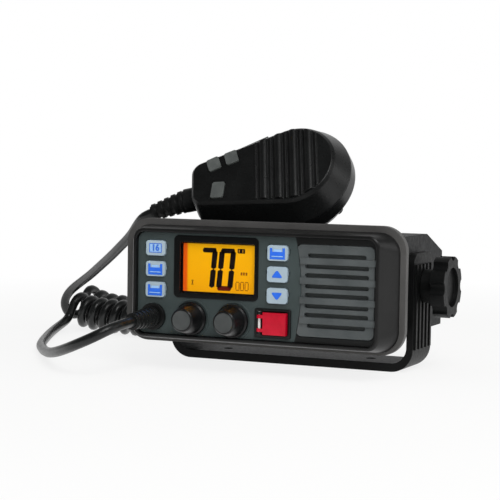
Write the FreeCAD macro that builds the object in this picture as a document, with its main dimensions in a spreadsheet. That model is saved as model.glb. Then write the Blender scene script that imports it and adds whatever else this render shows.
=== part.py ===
"""Fixed-mount VHF marine radio on its bracket, with its fist microphone lying on top and the curly cord beside it.

Millimetres. X runs to the right along the front panel, +Y to the back, +Z up. The origin is the middle of the
bracket's underside, so z = 0 is the surface that the radio stands on.
"""

import FreeCAD, Part
import math
import os
import re

import Sketcher
from FreeCAD import Placement, Rotation, Vector

doc = FreeCAD.newDocument("MarineRadio")
sheet = doc.addObject("Spreadsheet::Sheet", "Sizes")

driving = {
    # bracket
    "bracketDeep": 31, "bracketTall": 63.2, "bracketFloor": 4.5, "bracketWall": 3.5,
    "bracketCorner": 12, "uprightCorner": 6, "sideRibProud": 1, "sideRibWide": 2.4, "sideRibPitch": 6,
    "baseHoleSpacing": 85.2, "baseHoleWide": 5.5, "pivotTall": 45.3, "clampHoleWide": 6.6,
    "washerWide": 22, "washerSpace": 2, "washerGap": 0.05,
    # clamp knobs and their screws
    "clampScrewWide": 6, "clampScrewDepth": 7, "clampHubWide": 18, "clampHubLong": 7.2, "clampHeadWide": 33,
    "clampHeadLong": 8, "clampLobes": 8, "clampLobeWide": 7, "clampLobeDepth": 2.4, "clampDishWide": 21,
    "clampDishDepth": 2.2, "clampGap": 0.3,
    # chassis
    "chassisWide": 131, "chassisFront": -48, "chassisBack": 51.5, "chassisFloor": 20, "chassisTop": 72,
    "chassisWall": 2.5, "chassisSlopeStart": 23, "chassisSlopeDrop": 10.6, "finDepth": 5, "finThick": 1.8,
    "finClear": 7.1, "finCount": 9, "finTop": 57, "insertWide": 10, "insertLong": 8, "insertBossWide": 16,
    "coverThick": 2, "coverScrewWide": 2.6, "coverScrewHead": 5.2, "coverPostWide": 7, "coverPostTall": 6,
    "socketX": 38, "socketZ": 46, "socketThread": 15.9, "socketLong": 14, "socketFlange": 22,
    "socketBore": 12.4, "socketPinBore": 3.8, "glandX": 8, "glandPitch": 13, "glandZ": 34, "glandWide": 9,
    "glandLong": 9,
    # front housing, frame and faceplate
    "flangeSide": 11.55, "flangeTall": 65.7, "panelZ": 46.15, "flangeFront": -53.5, "flangeThick": 4,
    "flangeCorner": 13, "gasketThick": 1.5, "gasketWide": 4, "openingOver": 1.95, "openingTall": 54.2,
    "openingZ": 45.35, "openingCorner": 4.8, "frameFront": -66, "frameMargin": 3, "frameLip": 1.3,
    "frameCorner": 11, "frameFrontCorner": 6, "skirtWall": 2, "fitGap": 0.25, "faceFront": -63.5,
    "faceThick": 2, "screwPostWide": 7.6, "screwPostDeep": 12, "panelScrewWide": 3, "panelScrewHead": 5.6,
    "panelScrewInset": 4, "panelScrewLow": 27, "panelScrewHigh": 66.5,
    # speaker and its grille
    "grilleLeft": 24, "grilleInset": 1.45, "grilleTall": 47, "grilleZ": 45.3, "grilleBulge": 2.6,
    "grilleCorner": 3, "grilleLip": 1.2, "slatTall": 3.3, "slatPitch": 10.1, "slatProud": 0.9, "slatCount": 4,
    "slotTall": 2.2, "slotInLeft": 6, "slotInRight": 4.5, "speakerMargin": 1.5, "speakerDeep": 14,
    "magnetWide": 22, "magnetDeep": 6, "moduleX": -27, "moduleWide": 42, "moduleDeep": 12, "moduleTall": 9,
    # display
    "glassFromKeys": 14.2, "glassRight": 0.6, "glassLow": 40.8, "glassHigh": 67.7, "surroundSide": 3.5,
    "surroundRight": 2, "surroundLow": 2.5, "surroundHigh": 3.3, "surroundProud": 0.5, "surroundCorner": 2.6,
    "glassSink": 0.4, "glassThick": 1.4, "crystalThick": 1.8,
    # front keys
    "keyWide": 11.2, "keyTall": 8, "keyCorner": 1.6, "keyProud": 1.2, "keyGap": 0.3, "keyEar": 0.9,
    "keyEarTall": 2.6, "keyEarDepth": 1, "keyTravel": 0.8,
    "keyFlange": 0.9, "keyFlangeThick": 0.8, "keyInset": 11.05, "keyRightX": 13.6, "keyTopZ": 63.8,
    "keyPitch": 11, "padThick": 0.9, "boardThick": 1.6, "boardFront": -56.2,
    # rotary knobs
    "volumeX": -35.2, "squelchX": -11.2, "lowRowZ": 27.4, "knobWide": 17.7, "knobLong": 11.6, "knobTip": 12.4,
    "knobStand": 0.6, "capWide": 10.2, "capThick": 1.2, "shaftWide": 6, "shaftGap": 0.05, "collarWide": 20.4,
    "collarProud": 0.4, "potSize": 11, "potBush": 7.8,
    # emergency key under its flip cover
    "distressX": 11.3, "distressWide": 16.5, "distressTall": 11.6, "distressRim": 1.7, "rimProud": 0.9,
    "coverPlate": 1.4, "hingePinWide": 1.4, "hingeWide": 2.8, "hingeStand": 1.9, "distressKeyWide": 9.5,
    "distressKeyTall": 7,
    # microphone, from its face at depth 0 to its back at the full depth
    "micX": -9, "micY": -22.8, "micTilt": 57, "micHeadRadius": 30.5, "micHeadAt": 11, "micTailRadius": 10,
    "micTailAt": -37, "micTailHalf": 8.5, "micFaceRadius": 24, "micFaceAt": 12, "micFaceTail": 7,
    "micFaceTailAt": -39, "micFaceTailHalf": 7.1, "micFrontDepth": 13, "micBandDepth": 21.2, "micFullDepth": 33.2,
    "micEdge": 1.6, "micWall": 2.2, "micSeam": 0.4, "micBoardDepth": 10.4, "micKeyLong": 7.2, "micKeyTall": 8,
    "micLowerTall": 10, "micKeyAt": -32.5, "micKeyPitch": 10.3, "micKeyUp": 10.2, "micKeyDown": 7.5,
    "micKeyTravel": 0.7, "micKeyProud": 0.8, "talkLong": 28, "talkWide": 6.5, "talkProud": 1.8, "talkTravel": 1.5,
    "talkAlong": 23, "talkDepth": 12.7, "micGlandLong": 20.6, "micGlandWide": 11.6, "micGlandTip": 7.4,
    "micGlandCollar": 7, "micGlandDrop": 9.5, "micGlandDepth": 14, "micGlandRibs": 5, "studWide": 12,
    "studLong": 5, "ridgeWide": 5, "ridgeProud": 1.5, "ridgePitch": 8.5, "ridgeCount": 4, "ridgeLast": 21.5,
    "ribWide": 1.4, "ribProud": 0.8,
    "capsuleWide": 9.6,
    # cord
    "cordWide": 5.5, "reliefWide": 9.8, "reliefTip": 7.2, "reliefLong": 22.5, "reliefRibs": 6,
    "reliefRibProud": 0.7, "reliefDrop": 2, "reliefCollar": 2.5, "cordInset": 9.95, "reliefRing": 14.2,
    "coilWide": 21.6, "coilX": -185, "coilY": 76, "coilTurn": 16, "coilLong": 80, "coilRearLong": 88, "coilGap": 2.5,
    # running clearance between things that move past each other
    "sideGap": 0.3,
}
# sizes that follow from others
following = {
    "openingWide": "chassisWide + 2 * openingOver", "flangeWide": "openingWide + 2 * flangeSide",
    "bracketWide": "chassisWide + 2 * (washerSpace + bracketWall + sideRibProud)",
    "finPitch": "(chassisWide / 2 - chassisWall + glandX - glandWide / 2 - finClear) / finCount",
    "grilleRight": "openingWide / 2 - grilleInset", "slotLeft": "grilleLeft + slotInLeft",
    "slotRight": "grilleRight - slotInRight", "speakerX": "(grilleLeft + grilleRight) / 2",
    "speakerWide": "grilleRight - grilleLeft - 2 * speakerMargin", "keyLeftX": "keyInset - openingWide / 2",
    "glassLeft": "keyLeftX + glassFromKeys", "cordX": "cordInset - openingWide / 2",
}
rows = [(word, str(amount)) for word, amount in driving.items()]
rows += [(word, "=" + formula) for word, formula in following.items()]
for row, (word, content) in enumerate(rows, 1):
    sheet.set(f"A{row}", word)
    sheet.set(f"B{row}", content)
    sheet.setAlias(f"B{row}", word)
doc.recompute()

subParts = {}
letters = "xyz"
alongAxis = {"x": Rotation(Vector(0, 1, 0), 90), "y": Rotation(Vector(1, 0, 0), -90), "z": Rotation()}


def size(word):
    return float(getattr(sheet, word))


def bind(thing, place, formula):
    """Ties one property to a formula in the sheet's words."""
    thing.setExpression(place, re.sub(r"[A-Za-z]\w*", lambda found: "Sizes." + found.group(0), formula))


def worked(*formulas):
    """Lets the sheet work the formulas out."""
    for row, formula in enumerate(formulas, 1):
        sheet.set(f"D{row}", "=" + formula)
    doc.recompute()
    return [float(sheet.get(f"D{row}")) for row in range(1, len(formulas) + 1)]


def named(label, thing):
    """Makes a finished object one of the sub-parts."""
    thing.Label = label
    subParts[label] = thing
    return thing


def box(name, low, high):
    """A box between two corners, each given as three formulas."""
    block = doc.addObject("Part::Box", name)
    for side, letter, start, end in zip(("Length", "Width", "Height"), letters, low, high):
        bind(block, side, f"({end}) - ({start})")
        bind(block, "Placement.Base." + letter, start)
    return block


def rod(name, axis, radius, start, end, across=("0", "0"), tip=None):
    """A cylinder along an axis, or a cone where tip gives another radius at its end."""
    cylinder = doc.addObject("Part::Cone" if tip else "Part::Cylinder", name)
    cylinder.Placement.Rotation = alongAxis[axis]
    bind(cylinder, "Radius1" if tip else "Radius", radius)
    if tip:
        bind(cylinder, "Radius2", tip)
    bind(cylinder, "Height", f"({end}) - ({start})")
    places = list(across)
    places.insert(letters.index(axis), start)
    for letter, formula in zip(letters, places):
        bind(cylinder, "Placement.Base." + letter, formula)
    return cylinder


def fuse(name, *things):
    joined = doc.addObject("Part::MultiFuse", name)
    joined.Shapes = list(things)
    joined.Refine = True
    return joined


def cut(name, base, *tools):
    result = doc.addObject("Part::Cut", name)
    result.Base = base
    result.Tool = tools[0] if len(tools) == 1 else fuse(name + "Tools", *tools)
    result.Refine = True
    return result


def group(name, *things):
    """Several separate solids in one node."""
    together = doc.addObject("Part::Compound", name)
    together.Links = list(things)
    return together


def rounded(name, base, axis, radius, chosen=lambda middle: True):
    """Rounds the straight edges that run along an axis."""
    doc.recompute()
    direction = Vector(*[float(letter == axis) for letter in letters])
    edges = [
        (number, radius, radius)
        for number, edge in enumerate(base.Shape.Edges, 1)
        if isinstance(edge.Curve, Part.Line) and abs(edge.tangentAt(edge.FirstParameter).dot(direction)) > 0.999
        and chosen(edge.CenterOfMass)
    ]
    result = doc.addObject("Part::Fillet", name)
    result.Base = base
    result.Edges = edges
    return result


def slab(name, x, z, wide, tall, front, back, corner):
    """A plate that faces the front, with rounded corners, centred on x and z."""
    plate = box(
        name,
        (f"{x} - ({wide}) / 2", front, f"{z} - ({tall}) / 2"),
        (f"{x} + ({wide}) / 2", back, f"{z} + ({tall}) / 2"),
    )
    return rounded(name + "Rounded", plate, "y", corner)


def outline(body, role, points, lift="0"):
    """A closed sketch of straight lines on one of the body's own planes, each point tied to its formulas."""
    sketch = body.newObject("Sketcher::SketchObject", body.Name + "Outline")
    plane = next(feature for feature in body.Origin.OriginFeatures if feature.Role == role)
    sketch.AttachmentSupport = [(plane, "")]
    sketch.MapMode = "FlatFace"
    bind(sketch, "AttachmentOffset.Base.z", lift)
    flat = worked(*[formula for point in points for formula in point])
    corners = [Vector(flat[2 * k], flat[2 * k + 1], 0) for k in range(len(points))]
    for here, there in zip(corners, corners[1:] + corners[:1]):
        sketch.addGeometry(Part.LineSegment(here, there))
    for k, (point, corner) in enumerate(zip(points, corners)):
        sketch.addConstraint(Sketcher.Constraint("Coincident", k, 2, (k + 1) % len(points), 1))
        for kind, formula, amount in (("DistanceX", point[0], corner.x), ("DistanceY", point[1], corner.y)):
            index = sketch.addConstraint(Sketcher.Constraint(kind, -1, 1, k, 1, amount))
            bind(sketch, f"Constraints[{index}]", formula)
    return sketch


def padded(name, role, points, start, end):
    """A straight-sided body: an outline padded from start to end along its plane's normal."""
    body = doc.addObject("PartDesign::Body", name)
    sketch = outline(body, role, points, start)
    pad = body.newObject("PartDesign::Pad", name + "Pad")
    pad.Profile = sketch
    bind(pad, "Length", f"({end}) - ({start})")
    doc.recompute()
    return body


def turned(name, points, x, y, z):
    """A turned body: an outline of radius and distance, revolved about its own Y axis, then set at x, y and z."""
    body = doc.addObject("PartDesign::Body", name)
    sketch = outline(body, "XY_Plane", points)
    spin = body.newObject("PartDesign::Revolution", name + "Turn")
    spin.Profile = sketch
    spin.ReferenceAxis = (sketch, ["V_Axis"])
    spin.Angle = 360
    for letter, formula in zip(letters, (x, y, z)):
        bind(body, "Placement.Base." + letter, formula)
    doc.recompute()
    return body


def sided(side, near, far):
    """Both ends of a stretch on one side of the middle plane, in rising order."""
    return (near, far) if side > 0 else (f"-{far}", f"-{near}")


def shaped(label, shape, place=None):
    """A sub-part whose shape has no simple feature: shape first, then its place."""
    feature = doc.addObject("Part::Feature", label)
    feature.Shape = shape
    if place:
        feature.Placement = place
    return named(label, feature)


# ---- mounting bracket: a U of moulded plastic, ribbed on its outer faces

ribless = "(bracketWide / 2 - sideRibProud)"
innerHalf = "(chassisWide / 2 + washerSpace)"
outer = rounded(
    "BracketOuter",
    rounded(
        "BracketCorners",
        box("BracketBlock", (f"-{ribless}", "-bracketDeep / 2", "0"), (ribless, "bracketDeep / 2", "bracketTall")),
        "y", size("bracketCorner"), lambda middle: middle.z < size("bracketCorner"),
    ),
    "x", size("uprightCorner"), lambda middle: middle.z > size("bracketTall") / 2,
)
ribs = []
for side in (-1, 1):
    for step in (-2, -1, 0, 1, 2):
        middle = f"({step} * sideRibPitch)"
        low, high = sided(side, f"({ribless} - 0.5)", "(bracketWide / 2)")
        ribs.append(box(
            "SideRib",
            (low, f"{middle} - sideRibWide / 2", "bracketCorner"),
            (high, f"{middle} + sideRibWide / 2", "bracketTall - uprightCorner"),
        ))
bracketTools = [
    rounded(
        "BracketInner",
        box(
            "BracketHollow",
            (f"-{innerHalf}", "-bracketDeep", "bracketFloor"),
            (innerHalf, "bracketDeep", "bracketTall * 2"),
        ),
        "y", size("bracketCorner") - size("bracketWall"), lambda middle: middle.z < size("bracketTall"),
    ),
    rod("ClampBores", "x", "clampHoleWide / 2", "-bracketWide", "bracketWide", ("0", "pivotTall")),
]
for side in (-1, 1):
    bracketTools.append(rod(
        "BaseHole", "z", "baseHoleWide / 2", "-1", "bracketFloor + 1", (f"{side} * baseHoleSpacing / 2", "0")
    ))
named("mounting_bracket", cut("Bracket", fuse("BracketRibbed", outer, *ribs), *bracketTools))

washers = []
for side in (-1, 1):
    low, high = sided(side, "(chassisWide / 2 + washerGap)", innerHalf)
    washers.append(cut(
        "Washer",
        rod("WasherDisc", "x", "washerWide / 2", low, high, ("0", "pivotTall")),
        rod("WasherBore", "x", "clampHoleWide / 2", f"{low} - 1", f"{high} + 1", ("0", "pivotTall")),
    ))
named("friction_washers", group("Washers", *washers))

# ---- clamp knobs: a lobed head on a hub, with the screw moulded in

for side, word in ((-1, "left"), (1, "right")):
    hubStart = "(bracketWide / 2 + clampGap)"
    hubEnd = f"({hubStart} + clampHubLong)"
    headEnd = f"({hubEnd} + clampHeadLong)"
    screwEnd = f"({hubEnd} + clampHeadLong / 2)"
    screwStart = "(chassisWide / 2 - clampScrewDepth)"
    knobTools = [
        rod("ClampScrewBore", "x", "clampScrewWide / 2", *sided(side, hubStart, screwEnd), ("0", "pivotTall")),
        rod("ClampDish", "x", "clampDishWide / 2", *sided(side, f"({headEnd} - clampDishDepth)", f"({headEnd} + 1)"),
            ("0", "pivotTall")),
    ]
    for step in range(int(size("clampLobes"))):
        turn = math.radians(360 * step / size("clampLobes"))
        reach = "(clampHeadWide / 2 + clampLobeWide / 2 - clampLobeDepth)"
        knobTools.append(rod(
            "LobeGap", "x", "clampLobeWide / 2", *sided(side, f"({hubEnd} - 1)", f"({headEnd} + 1)"),
            (f"{math.cos(turn):.6f} * {reach}", f"pivotTall + {math.sin(turn):.6f} * {reach}"),
        ))
    knob = fuse(
        "ClampSolid",
        rod("ClampHub", "x", "clampHubWide / 2", *sided(side, hubStart, f"({hubEnd} + 1)"), ("0", "pivotTall")),
        rod("ClampHead", "x", "clampHeadWide / 2", *sided(side, hubEnd, headEnd), ("0", "pivotTall")),
    )
    named(f"clamp_knob_{word}", cut("ClampKnob", knob, *knobTools))
    named(f"clamp_screw_{word}", rod(
        "ClampScrew", "x", "clampScrewWide / 2", *sided(side, screwStart, screwEnd), ("0", "pivotTall")
    ))

# ---- chassis: a die-cast tray, open at the front and below, finned at the back

chassisHalf = "chassisWide / 2"
slopeEnd = "(chassisTop - chassisSlopeDrop)"
profile = [
    ("chassisFront", "chassisFloor"), ("chassisBack", "chassisFloor"), ("chassisBack", slopeEnd),
    ("chassisSlopeStart", "chassisTop"), ("chassisFront", "chassisTop"),
]
shell = padded("ChassisBlock", "YZ_Plane", profile, f"-{chassisHalf}", chassisHalf)
rearWall = "(chassisBack - finDepth)"
inBack = f"({rearWall} - chassisWall)"
innerProfile = [
    ("chassisFront - 1", "chassisFloor - 1"), (inBack, "chassisFloor - 1"),
    (inBack, f"{slopeEnd} - chassisWall"), ("chassisSlopeStart", "chassisTop - chassisWall"),
    ("chassisFront - 1", "chassisTop - chassisWall"),
]
hollow = padded(
    "ChassisHollow", "YZ_Plane", innerProfile, f"-({chassisHalf} - chassisWall)", f"{chassisHalf} - chassisWall"
)
recess = box(
    "FinRecess",
    (f"-({chassisHalf} - chassisWall)", rearWall, "chassisFloor - 1"),
    (f"{chassisHalf} - chassisWall", "chassisBack + 1", "finTop"),
)
tray = cut("ChassisTray", shell, hollow, recess)
added = []
for step in range(int(size("finCount"))):
    x = f"(-{chassisHalf} + chassisWall + finPitch * {step + 0.75})"
    added.append(box("Fin", (x, f"{rearWall} - 0.5", "chassisFloor"), (f"{x} + finThick", "chassisBack", "finTop")))
postX = "(openingWide / 2 - fitGap - skirtWall - panelScrewInset)"
postTools = []
for side in (-1, 1):
    low, high = sided(side, f"({chassisHalf} - insertLong - 1.5)", f"({chassisHalf})")
    added.append(rod("InsertBoss", "x", "insertBossWide / 2", low, high, ("0", "pivotTall")))
    for z in ("panelScrewLow", "panelScrewHigh"):
        place = (f"{side} * {postX}", z)
        end = "chassisFront + screwPostDeep"
        added.append(rod("ScrewPost", "y", "screwPostWide / 2", "chassisFront", end, place))
        postTools.append(rod("PostBore", "y", "panelScrewWide / 2", "chassisFront - 1", end, place))
    postTools.append(rod(
        "InsertBore", "x", "insertWide / 2", *sided(side, f"({chassisHalf} - insertLong)", f"({chassisHalf} + 1)"),
        ("0", "pivotTall"),
    ))
coverSeat = "(chassisFloor + coverThick)"
screwPlaces = [(side, y) for side in (-1, 1) for y in ("chassisFront + 20", "-2", f"{inBack} - 7")]
coverPostX = "(chassisWide / 2 - chassisWall - coverPostWide / 2 + 0.5)"
for side, y in screwPlaces:
    place = (f"{side} * {coverPostX}", y)
    added.append(rod("CoverPost", "z", "coverPostWide / 2", coverSeat, f"{coverSeat} + coverPostTall", place))
    postTools.append(rod(
        "CoverBore", "z", "coverScrewWide / 2", f"{coverSeat} - 1", f"{coverSeat} + coverPostTall - 1", place
    ))
postTools.append(rod(
    "SocketHole", "y", "socketBore / 2", f"{inBack} - 1", f"{rearWall} + 1", ("socketX", "socketZ")
))
for step in (0, 1):
    postTools.append(rod(
        "GlandHole", "y", "glandWide / 2 - 1", f"{inBack} - 1", f"{rearWall} + 1",
        (f"glandX + {step} * glandPitch", "glandZ"),
    ))
named("chassis", cut("Chassis", fuse("ChassisWhole", tray, *added), *postTools))

inserts = []
for side in (-1, 1):
    low, high = sided(side, f"({chassisHalf} - insertLong)", f"({chassisHalf})")
    inserts.append(cut(
        "Insert",
        rod("InsertRod", "x", "insertWide / 2", low, high, ("0", "pivotTall")),
        rod("InsertThread", "x", "clampScrewWide / 2 + shaftGap", f"{low} - 1", f"{high} + 1", ("0", "pivotTall")),
    ))
named("pivot_inserts", group("Inserts", *inserts))

# ---- bottom cover with its stand-offs, and its screws

coverTools = []
screws = []
for side, y in screwPlaces:
    place = (f"{side} * {coverPostX}", y)
    coverTools.append(rod("CoverHole", "z", "coverScrewWide / 2", "chassisFloor - 1", f"{coverSeat} + 1", place))
    coverTools.append(rod(
        "CoverSink", "z", "coverScrewHead / 2", "chassisFloor - 1", "chassisFloor + coverThick / 2", place
    ))
    screws.append(fuse(
        "CoverScrew",
        rod("ScrewHead", "z", "coverScrewHead / 2", "chassisFloor", "chassisFloor + coverThick / 2", place),
        rod("ScrewShank", "z", "coverScrewWide / 2", "chassisFloor", f"{coverSeat} + coverPostTall - 2", place),
    ))
coverX = "(chassisWide / 2 - chassisWall)"
cover = box("CoverPlate", (f"-{coverX}", "chassisFront", "chassisFloor"), (coverX, inBack, coverSeat))
standX = "(chassisWide / 2 - chassisWall - 15)"
boardLow = f"({coverSeat} + coverPostTall + 2)"
stands = [
    rod("StandOff", "z", "3", "chassisFloor + 1", boardLow, (f"{side} * {standX}", y))
    for side in (-1, 1) for y in ("chassisFront + 14", f"{inBack} - 12")
]
named("bottom_cover", cut("BottomCover", fuse("CoverWhole", cover, *stands), *coverTools))
named("bottom_cover_screws", group("CoverScrews", *screws))

# ---- things on the back wall

back = rearWall
named("antenna_socket", cut(
    "Socket",
    fuse(
        "SocketSolid",
        rod("SocketFlange", "y", "socketFlange / 2", back, f"{back} + 2", ("socketX", "socketZ")),
        rod("SocketThread", "y", "socketThread / 2", back, f"{back} + 2 + socketLong", ("socketX", "socketZ")),
        rod("SocketTail", "y", "socketBore / 2 - shaftGap", f"{inBack} - 2", f"{back} + 1", ("socketX", "socketZ")),
    ),
    cut(
        "SocketMouth",
        rod("MouthBore", "y", "socketBore / 2", f"{back} + 6", f"{back} + 3 + socketLong", ("socketX", "socketZ")),
        rod("Insulator", "y", "socketPinBore / 2 + 1.6", f"{back} + 5", f"{back} + 1 + socketLong",
            ("socketX", "socketZ")),
    ),
    rod("PinBore", "y", "socketPinBore / 2", f"{back} + 4", f"{back} + 3 + socketLong", ("socketX", "socketZ")),
))
glands = []
for step in (0, 1):
    place = (f"glandX + {step} * glandPitch", "glandZ")
    glands.append(cut(
        "CableGland",
        fuse(
            "GlandSolid",
            rod("GlandNut", "y", "glandWide / 2 + 1", back, f"{back} + 2.5", place),
            rod("GlandNose", "y", "glandWide / 2", f"{back} + 2", f"{back} + glandLong", place, "glandWide / 2 - 1.2"),
            rod("GlandNeck", "y", "glandWide / 2 - 1 - shaftGap", f"{inBack} - 1", f"{back} + 1", place),
        ),
        rod("GlandBore", "y", "2", f"{inBack} - 2", f"{back} + glandLong + 1", place),
    ))
named("rear_cable_glands", group("CableGlands", *glands))

# ---- front housing: a grey flange with a skirt that carries the faceplate

flangeBack = "(flangeFront + flangeThick)"
faceBack = "(faceFront + faceThick)"
skirtWide = "(openingWide - 2 * fitGap)"
skirtTall = "(openingTall - 2 * fitGap)"
skirtOuter = slab(
    "Skirt", "0", "openingZ", skirtWide, skirtTall, faceBack, "flangeFront + 1", size("openingCorner")
)
skirtInner = slab(
    "SkirtHollow", "0", "openingZ", f"({skirtWide} - 2 * skirtWall)", f"({skirtTall} - 2 * skirtWall)",
    f"{faceBack} - 1", "flangeFront", size("openingCorner") - size("skirtWall") / 2,
)
ledge = slab(
    "LedgeHole", "0", "openingZ", f"({skirtWide} - 2 * skirtWall - 4 * panelScrewInset + 2)",
    f"({skirtTall} - 2 * skirtWall - 2)", "flangeFront - 1", f"{flangeBack} + 1", size("openingCorner"),
)
flange = slab("Flange", "0", "panelZ", "flangeWide", "flangeTall", "flangeFront", flangeBack, size("flangeCorner"))
housingTools = [skirtInner, ledge]
panelScrews = []
for side in (-1, 1):
    for z in ("panelScrewLow", "panelScrewHigh"):
        place = (f"{side} * {postX}", z)
        housingTools.append(rod(
            "PanelHole", "y", "panelScrewWide / 2", "flangeFront - 1", f"{flangeBack} + 1", place
        ))
        panelScrews.append(fuse(
            "PanelScrew",
            rod("PanelHead", "y", "panelScrewHead / 2", "flangeFront - 2", "flangeFront", place),
            rod("PanelShank", "y", "panelScrewWide / 2", "flangeFront - 1", "chassisFront + screwPostDeep - 2", place),
        ))
named("front_housing", cut("Housing", fuse("HousingSolid", flange, skirtOuter), *housingTools))
named("panel_screws", group("PanelScrews", *panelScrews))
named("panel_gasket", cut(
    "Gasket",
    box(
        "GasketOuter",
        (f"-{chassisHalf}", flangeBack, "chassisFloor"), (chassisHalf, f"{flangeBack} + gasketThick", "chassisTop"),
    ),
    box(
        "GasketInner",
        (f"-{chassisHalf} + gasketWide", f"{flangeBack} - 1", "chassisFloor + gasketWide"),
        (f"{chassisHalf} - gasketWide", f"{flangeBack} + gasketThick + 1", "chassisTop - gasketWide"),
    ),
    *[rod(
        "GasketHole", "y", "screwPostWide / 2", f"{flangeBack} - 1", f"{flangeBack} + gasketThick + 1",
        (f"{side} * {postX}", z),
    ) for side in (-1, 1) for z in ("panelScrewLow", "panelScrewHigh")],
))

# ---- front frame: a black moulding that slopes forward from the flange to the lip round its opening


def roundedLoop(wide, tall, corner, z, y):
    """A rounded rectangle that faces the front, as a wire of four lines and four arcs."""
    across = wide / 2 - corner
    up = tall / 2 - corner
    edges = []
    for k, (sx, sz) in enumerate(((1, 1), (-1, 1), (-1, -1), (1, -1))):
        centre = Vector(sx * across, y, z + sz * up)
        start = math.radians(90 * k)
        arc = [
            centre + Vector(math.cos(start + step), 0, math.sin(start + step)) * corner
            for step in (0, math.pi / 4, math.pi / 2)
        ]
        edges.append(Part.Arc(*arc).toShape())
    loop = []
    for here, there in zip(edges, edges[1:] + edges[:1]):
        loop += [here, Part.LineSegment(here.Vertexes[-1].Point, there.Vertexes[0].Point).toShape()]
    return Part.Wire(loop)


openingEdge = size("openingWide") + 2 * size("frameLip")
openingRise = size("openingTall") + 2 * size("frameLip")
lipBack = size("frameFront") + size("frameLip") / 2
flangeMargin = 2 * size("frameMargin")
frameSolid = Part.makeLoft(
    [
        roundedLoop(size("flangeWide") - flangeMargin, size("flangeTall") - flangeMargin + 1.5, size("frameCorner"),
                    (size("panelZ") + size("openingZ")) / 2 - 0.6, size("flangeFront")),
        roundedLoop(openingEdge + 1, openingRise + 1, size("frameFrontCorner"), size("openingZ"), lipBack),
        roundedLoop(openingEdge, openingRise, size("frameFrontCorner"), size("openingZ"), size("frameFront")),
    ],
    True, True,
)
frameHole = Part.Face(roundedLoop(
    size("openingWide"), size("openingTall"), size("openingCorner"), size("openingZ"), size("frameFront") - 1
)).extrude(Vector(0, size("flangeFront") - size("frameFront") + 2, 0))
shaped("front_frame", frameSolid.cut(frameHole))

# ---- speaker grille: a plate with slats and slots, its left edge bowed in by the faceplate

bowRadius = "((grilleTall * grilleTall / 4 + grilleBulge * grilleBulge) / (2 * grilleBulge))"
bowX = f"(grilleLeft + grilleBulge - {bowRadius})"


def grillePlate(name, front, back, grow, right=None):
    """The grille's outline as a plate; grow widens it all round, unless right gives another right edge."""
    right = right or f"(grilleRight + {grow})"
    left = f"(grilleLeft - {grow})"
    plate = slab(
        name, f"({right} + {left}) / 2", "grilleZ", f"({right} - {left})", f"(grilleTall + 2 * ({grow}))",
        front, back, size("grilleCorner") * (1.5 if grow == "1" else 1),
    )
    bow = rod(name + "Bow", "y", f"{bowRadius} - ({grow})", f"({front}) - 1", f"({back}) + 1", (bowX, "grilleZ"))
    return cut(name + "Bowed", plate, bow)


topSlat = "(grilleZ + slatPitch * (slatCount - 1) / 2)"
slats = []
slots = []
for step in range(int(size("slatCount"))):
    middle = f"({topSlat} - {step} * slatPitch)"
    slats.append(box(
        "Slat",
        ("slotLeft - 4", "faceFront - slatProud", f"{middle} - slatTall / 2"),
        ("grilleRight + 0.8", "faceFront", f"{middle} + slatTall / 2"),
    ))
    for up in (-1, 1):
        inner = 0 if (step, up) in ((0, 1), (int(size("slatCount")) - 1, -1)) else 1.5
        slots.append(rounded(
            "SlotEnds",
            box(
                "Slot",
                (f"slotLeft - {inner}", "faceFront - 1", f"{middle} + {up} * (slatTall / 2 + slotTall / 2) - slotTall / 2"),
                (f"slotRight + {inner}", f"{faceBack} + grilleLip + 1",
                 f"{middle} + {up} * (slatTall / 2 + slotTall / 2) + slotTall / 2"),
            ),
            "y", size("slotTall") * 0.48,
        ))
grille = fuse(
    "GrilleSolid",
    grillePlate("GrilleFront", "faceFront", faceBack, "0"),
    grillePlate("GrilleBack", faceBack, f"{faceBack} + grilleLip", "1", f"({skirtWide} / 2 - skirtWall - fitGap)"),
    *slats,
)
named("speaker_grille", cut("Grille", grille, *slots))

# ---- speaker: a basket with its magnet, and the paper cone

speakerFront = f"({faceBack} + grilleLip)"
speakerBack = f"({speakerFront} + speakerDeep)"
magnetFront = f"({speakerBack} - magnetDeep)"
named("speaker_basket", turned("Basket", [
    ("speakerWide / 2 - 3", speakerFront), ("speakerWide / 2", speakerFront), ("speakerWide / 2", f"{speakerFront} + 1.2"),
    ("speakerWide / 2 - 1.6", f"{speakerFront} + 1.6"), ("magnetWide / 2 + 0.5", magnetFront),
    ("magnetWide / 2", magnetFront), ("magnetWide / 2", speakerBack), ("0", speakerBack),
    ("0", f"{magnetFront} + 0.4"), ("magnetWide / 2 - 0.8", f"{magnetFront} - 0.8"),
    ("speakerWide / 2 - 3", f"{speakerFront} + 2"),
], "speakerX", "0", "grilleZ"))
named("speaker_cone", turned("Cone", [
    ("speakerWide / 2 - 3.05", f"{speakerFront} + 0.6"), ("speakerWide / 2 - 3.05", f"{speakerFront} + 1.4"),
    ("magnetWide / 2 - 3", f"{magnetFront} - 1"), ("0", f"{magnetFront} - 1"), ("0", f"{magnetFront} - 1.8"),
    ("magnetWide / 2 - 3.4", f"{magnetFront} - 1.8"), ("speakerWide / 2 - 4.4", f"{speakerFront} + 0.6"),
], "speakerX", "0", "grilleZ"))

# ---- faceplate, with a hole for each thing that comes through it

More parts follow.
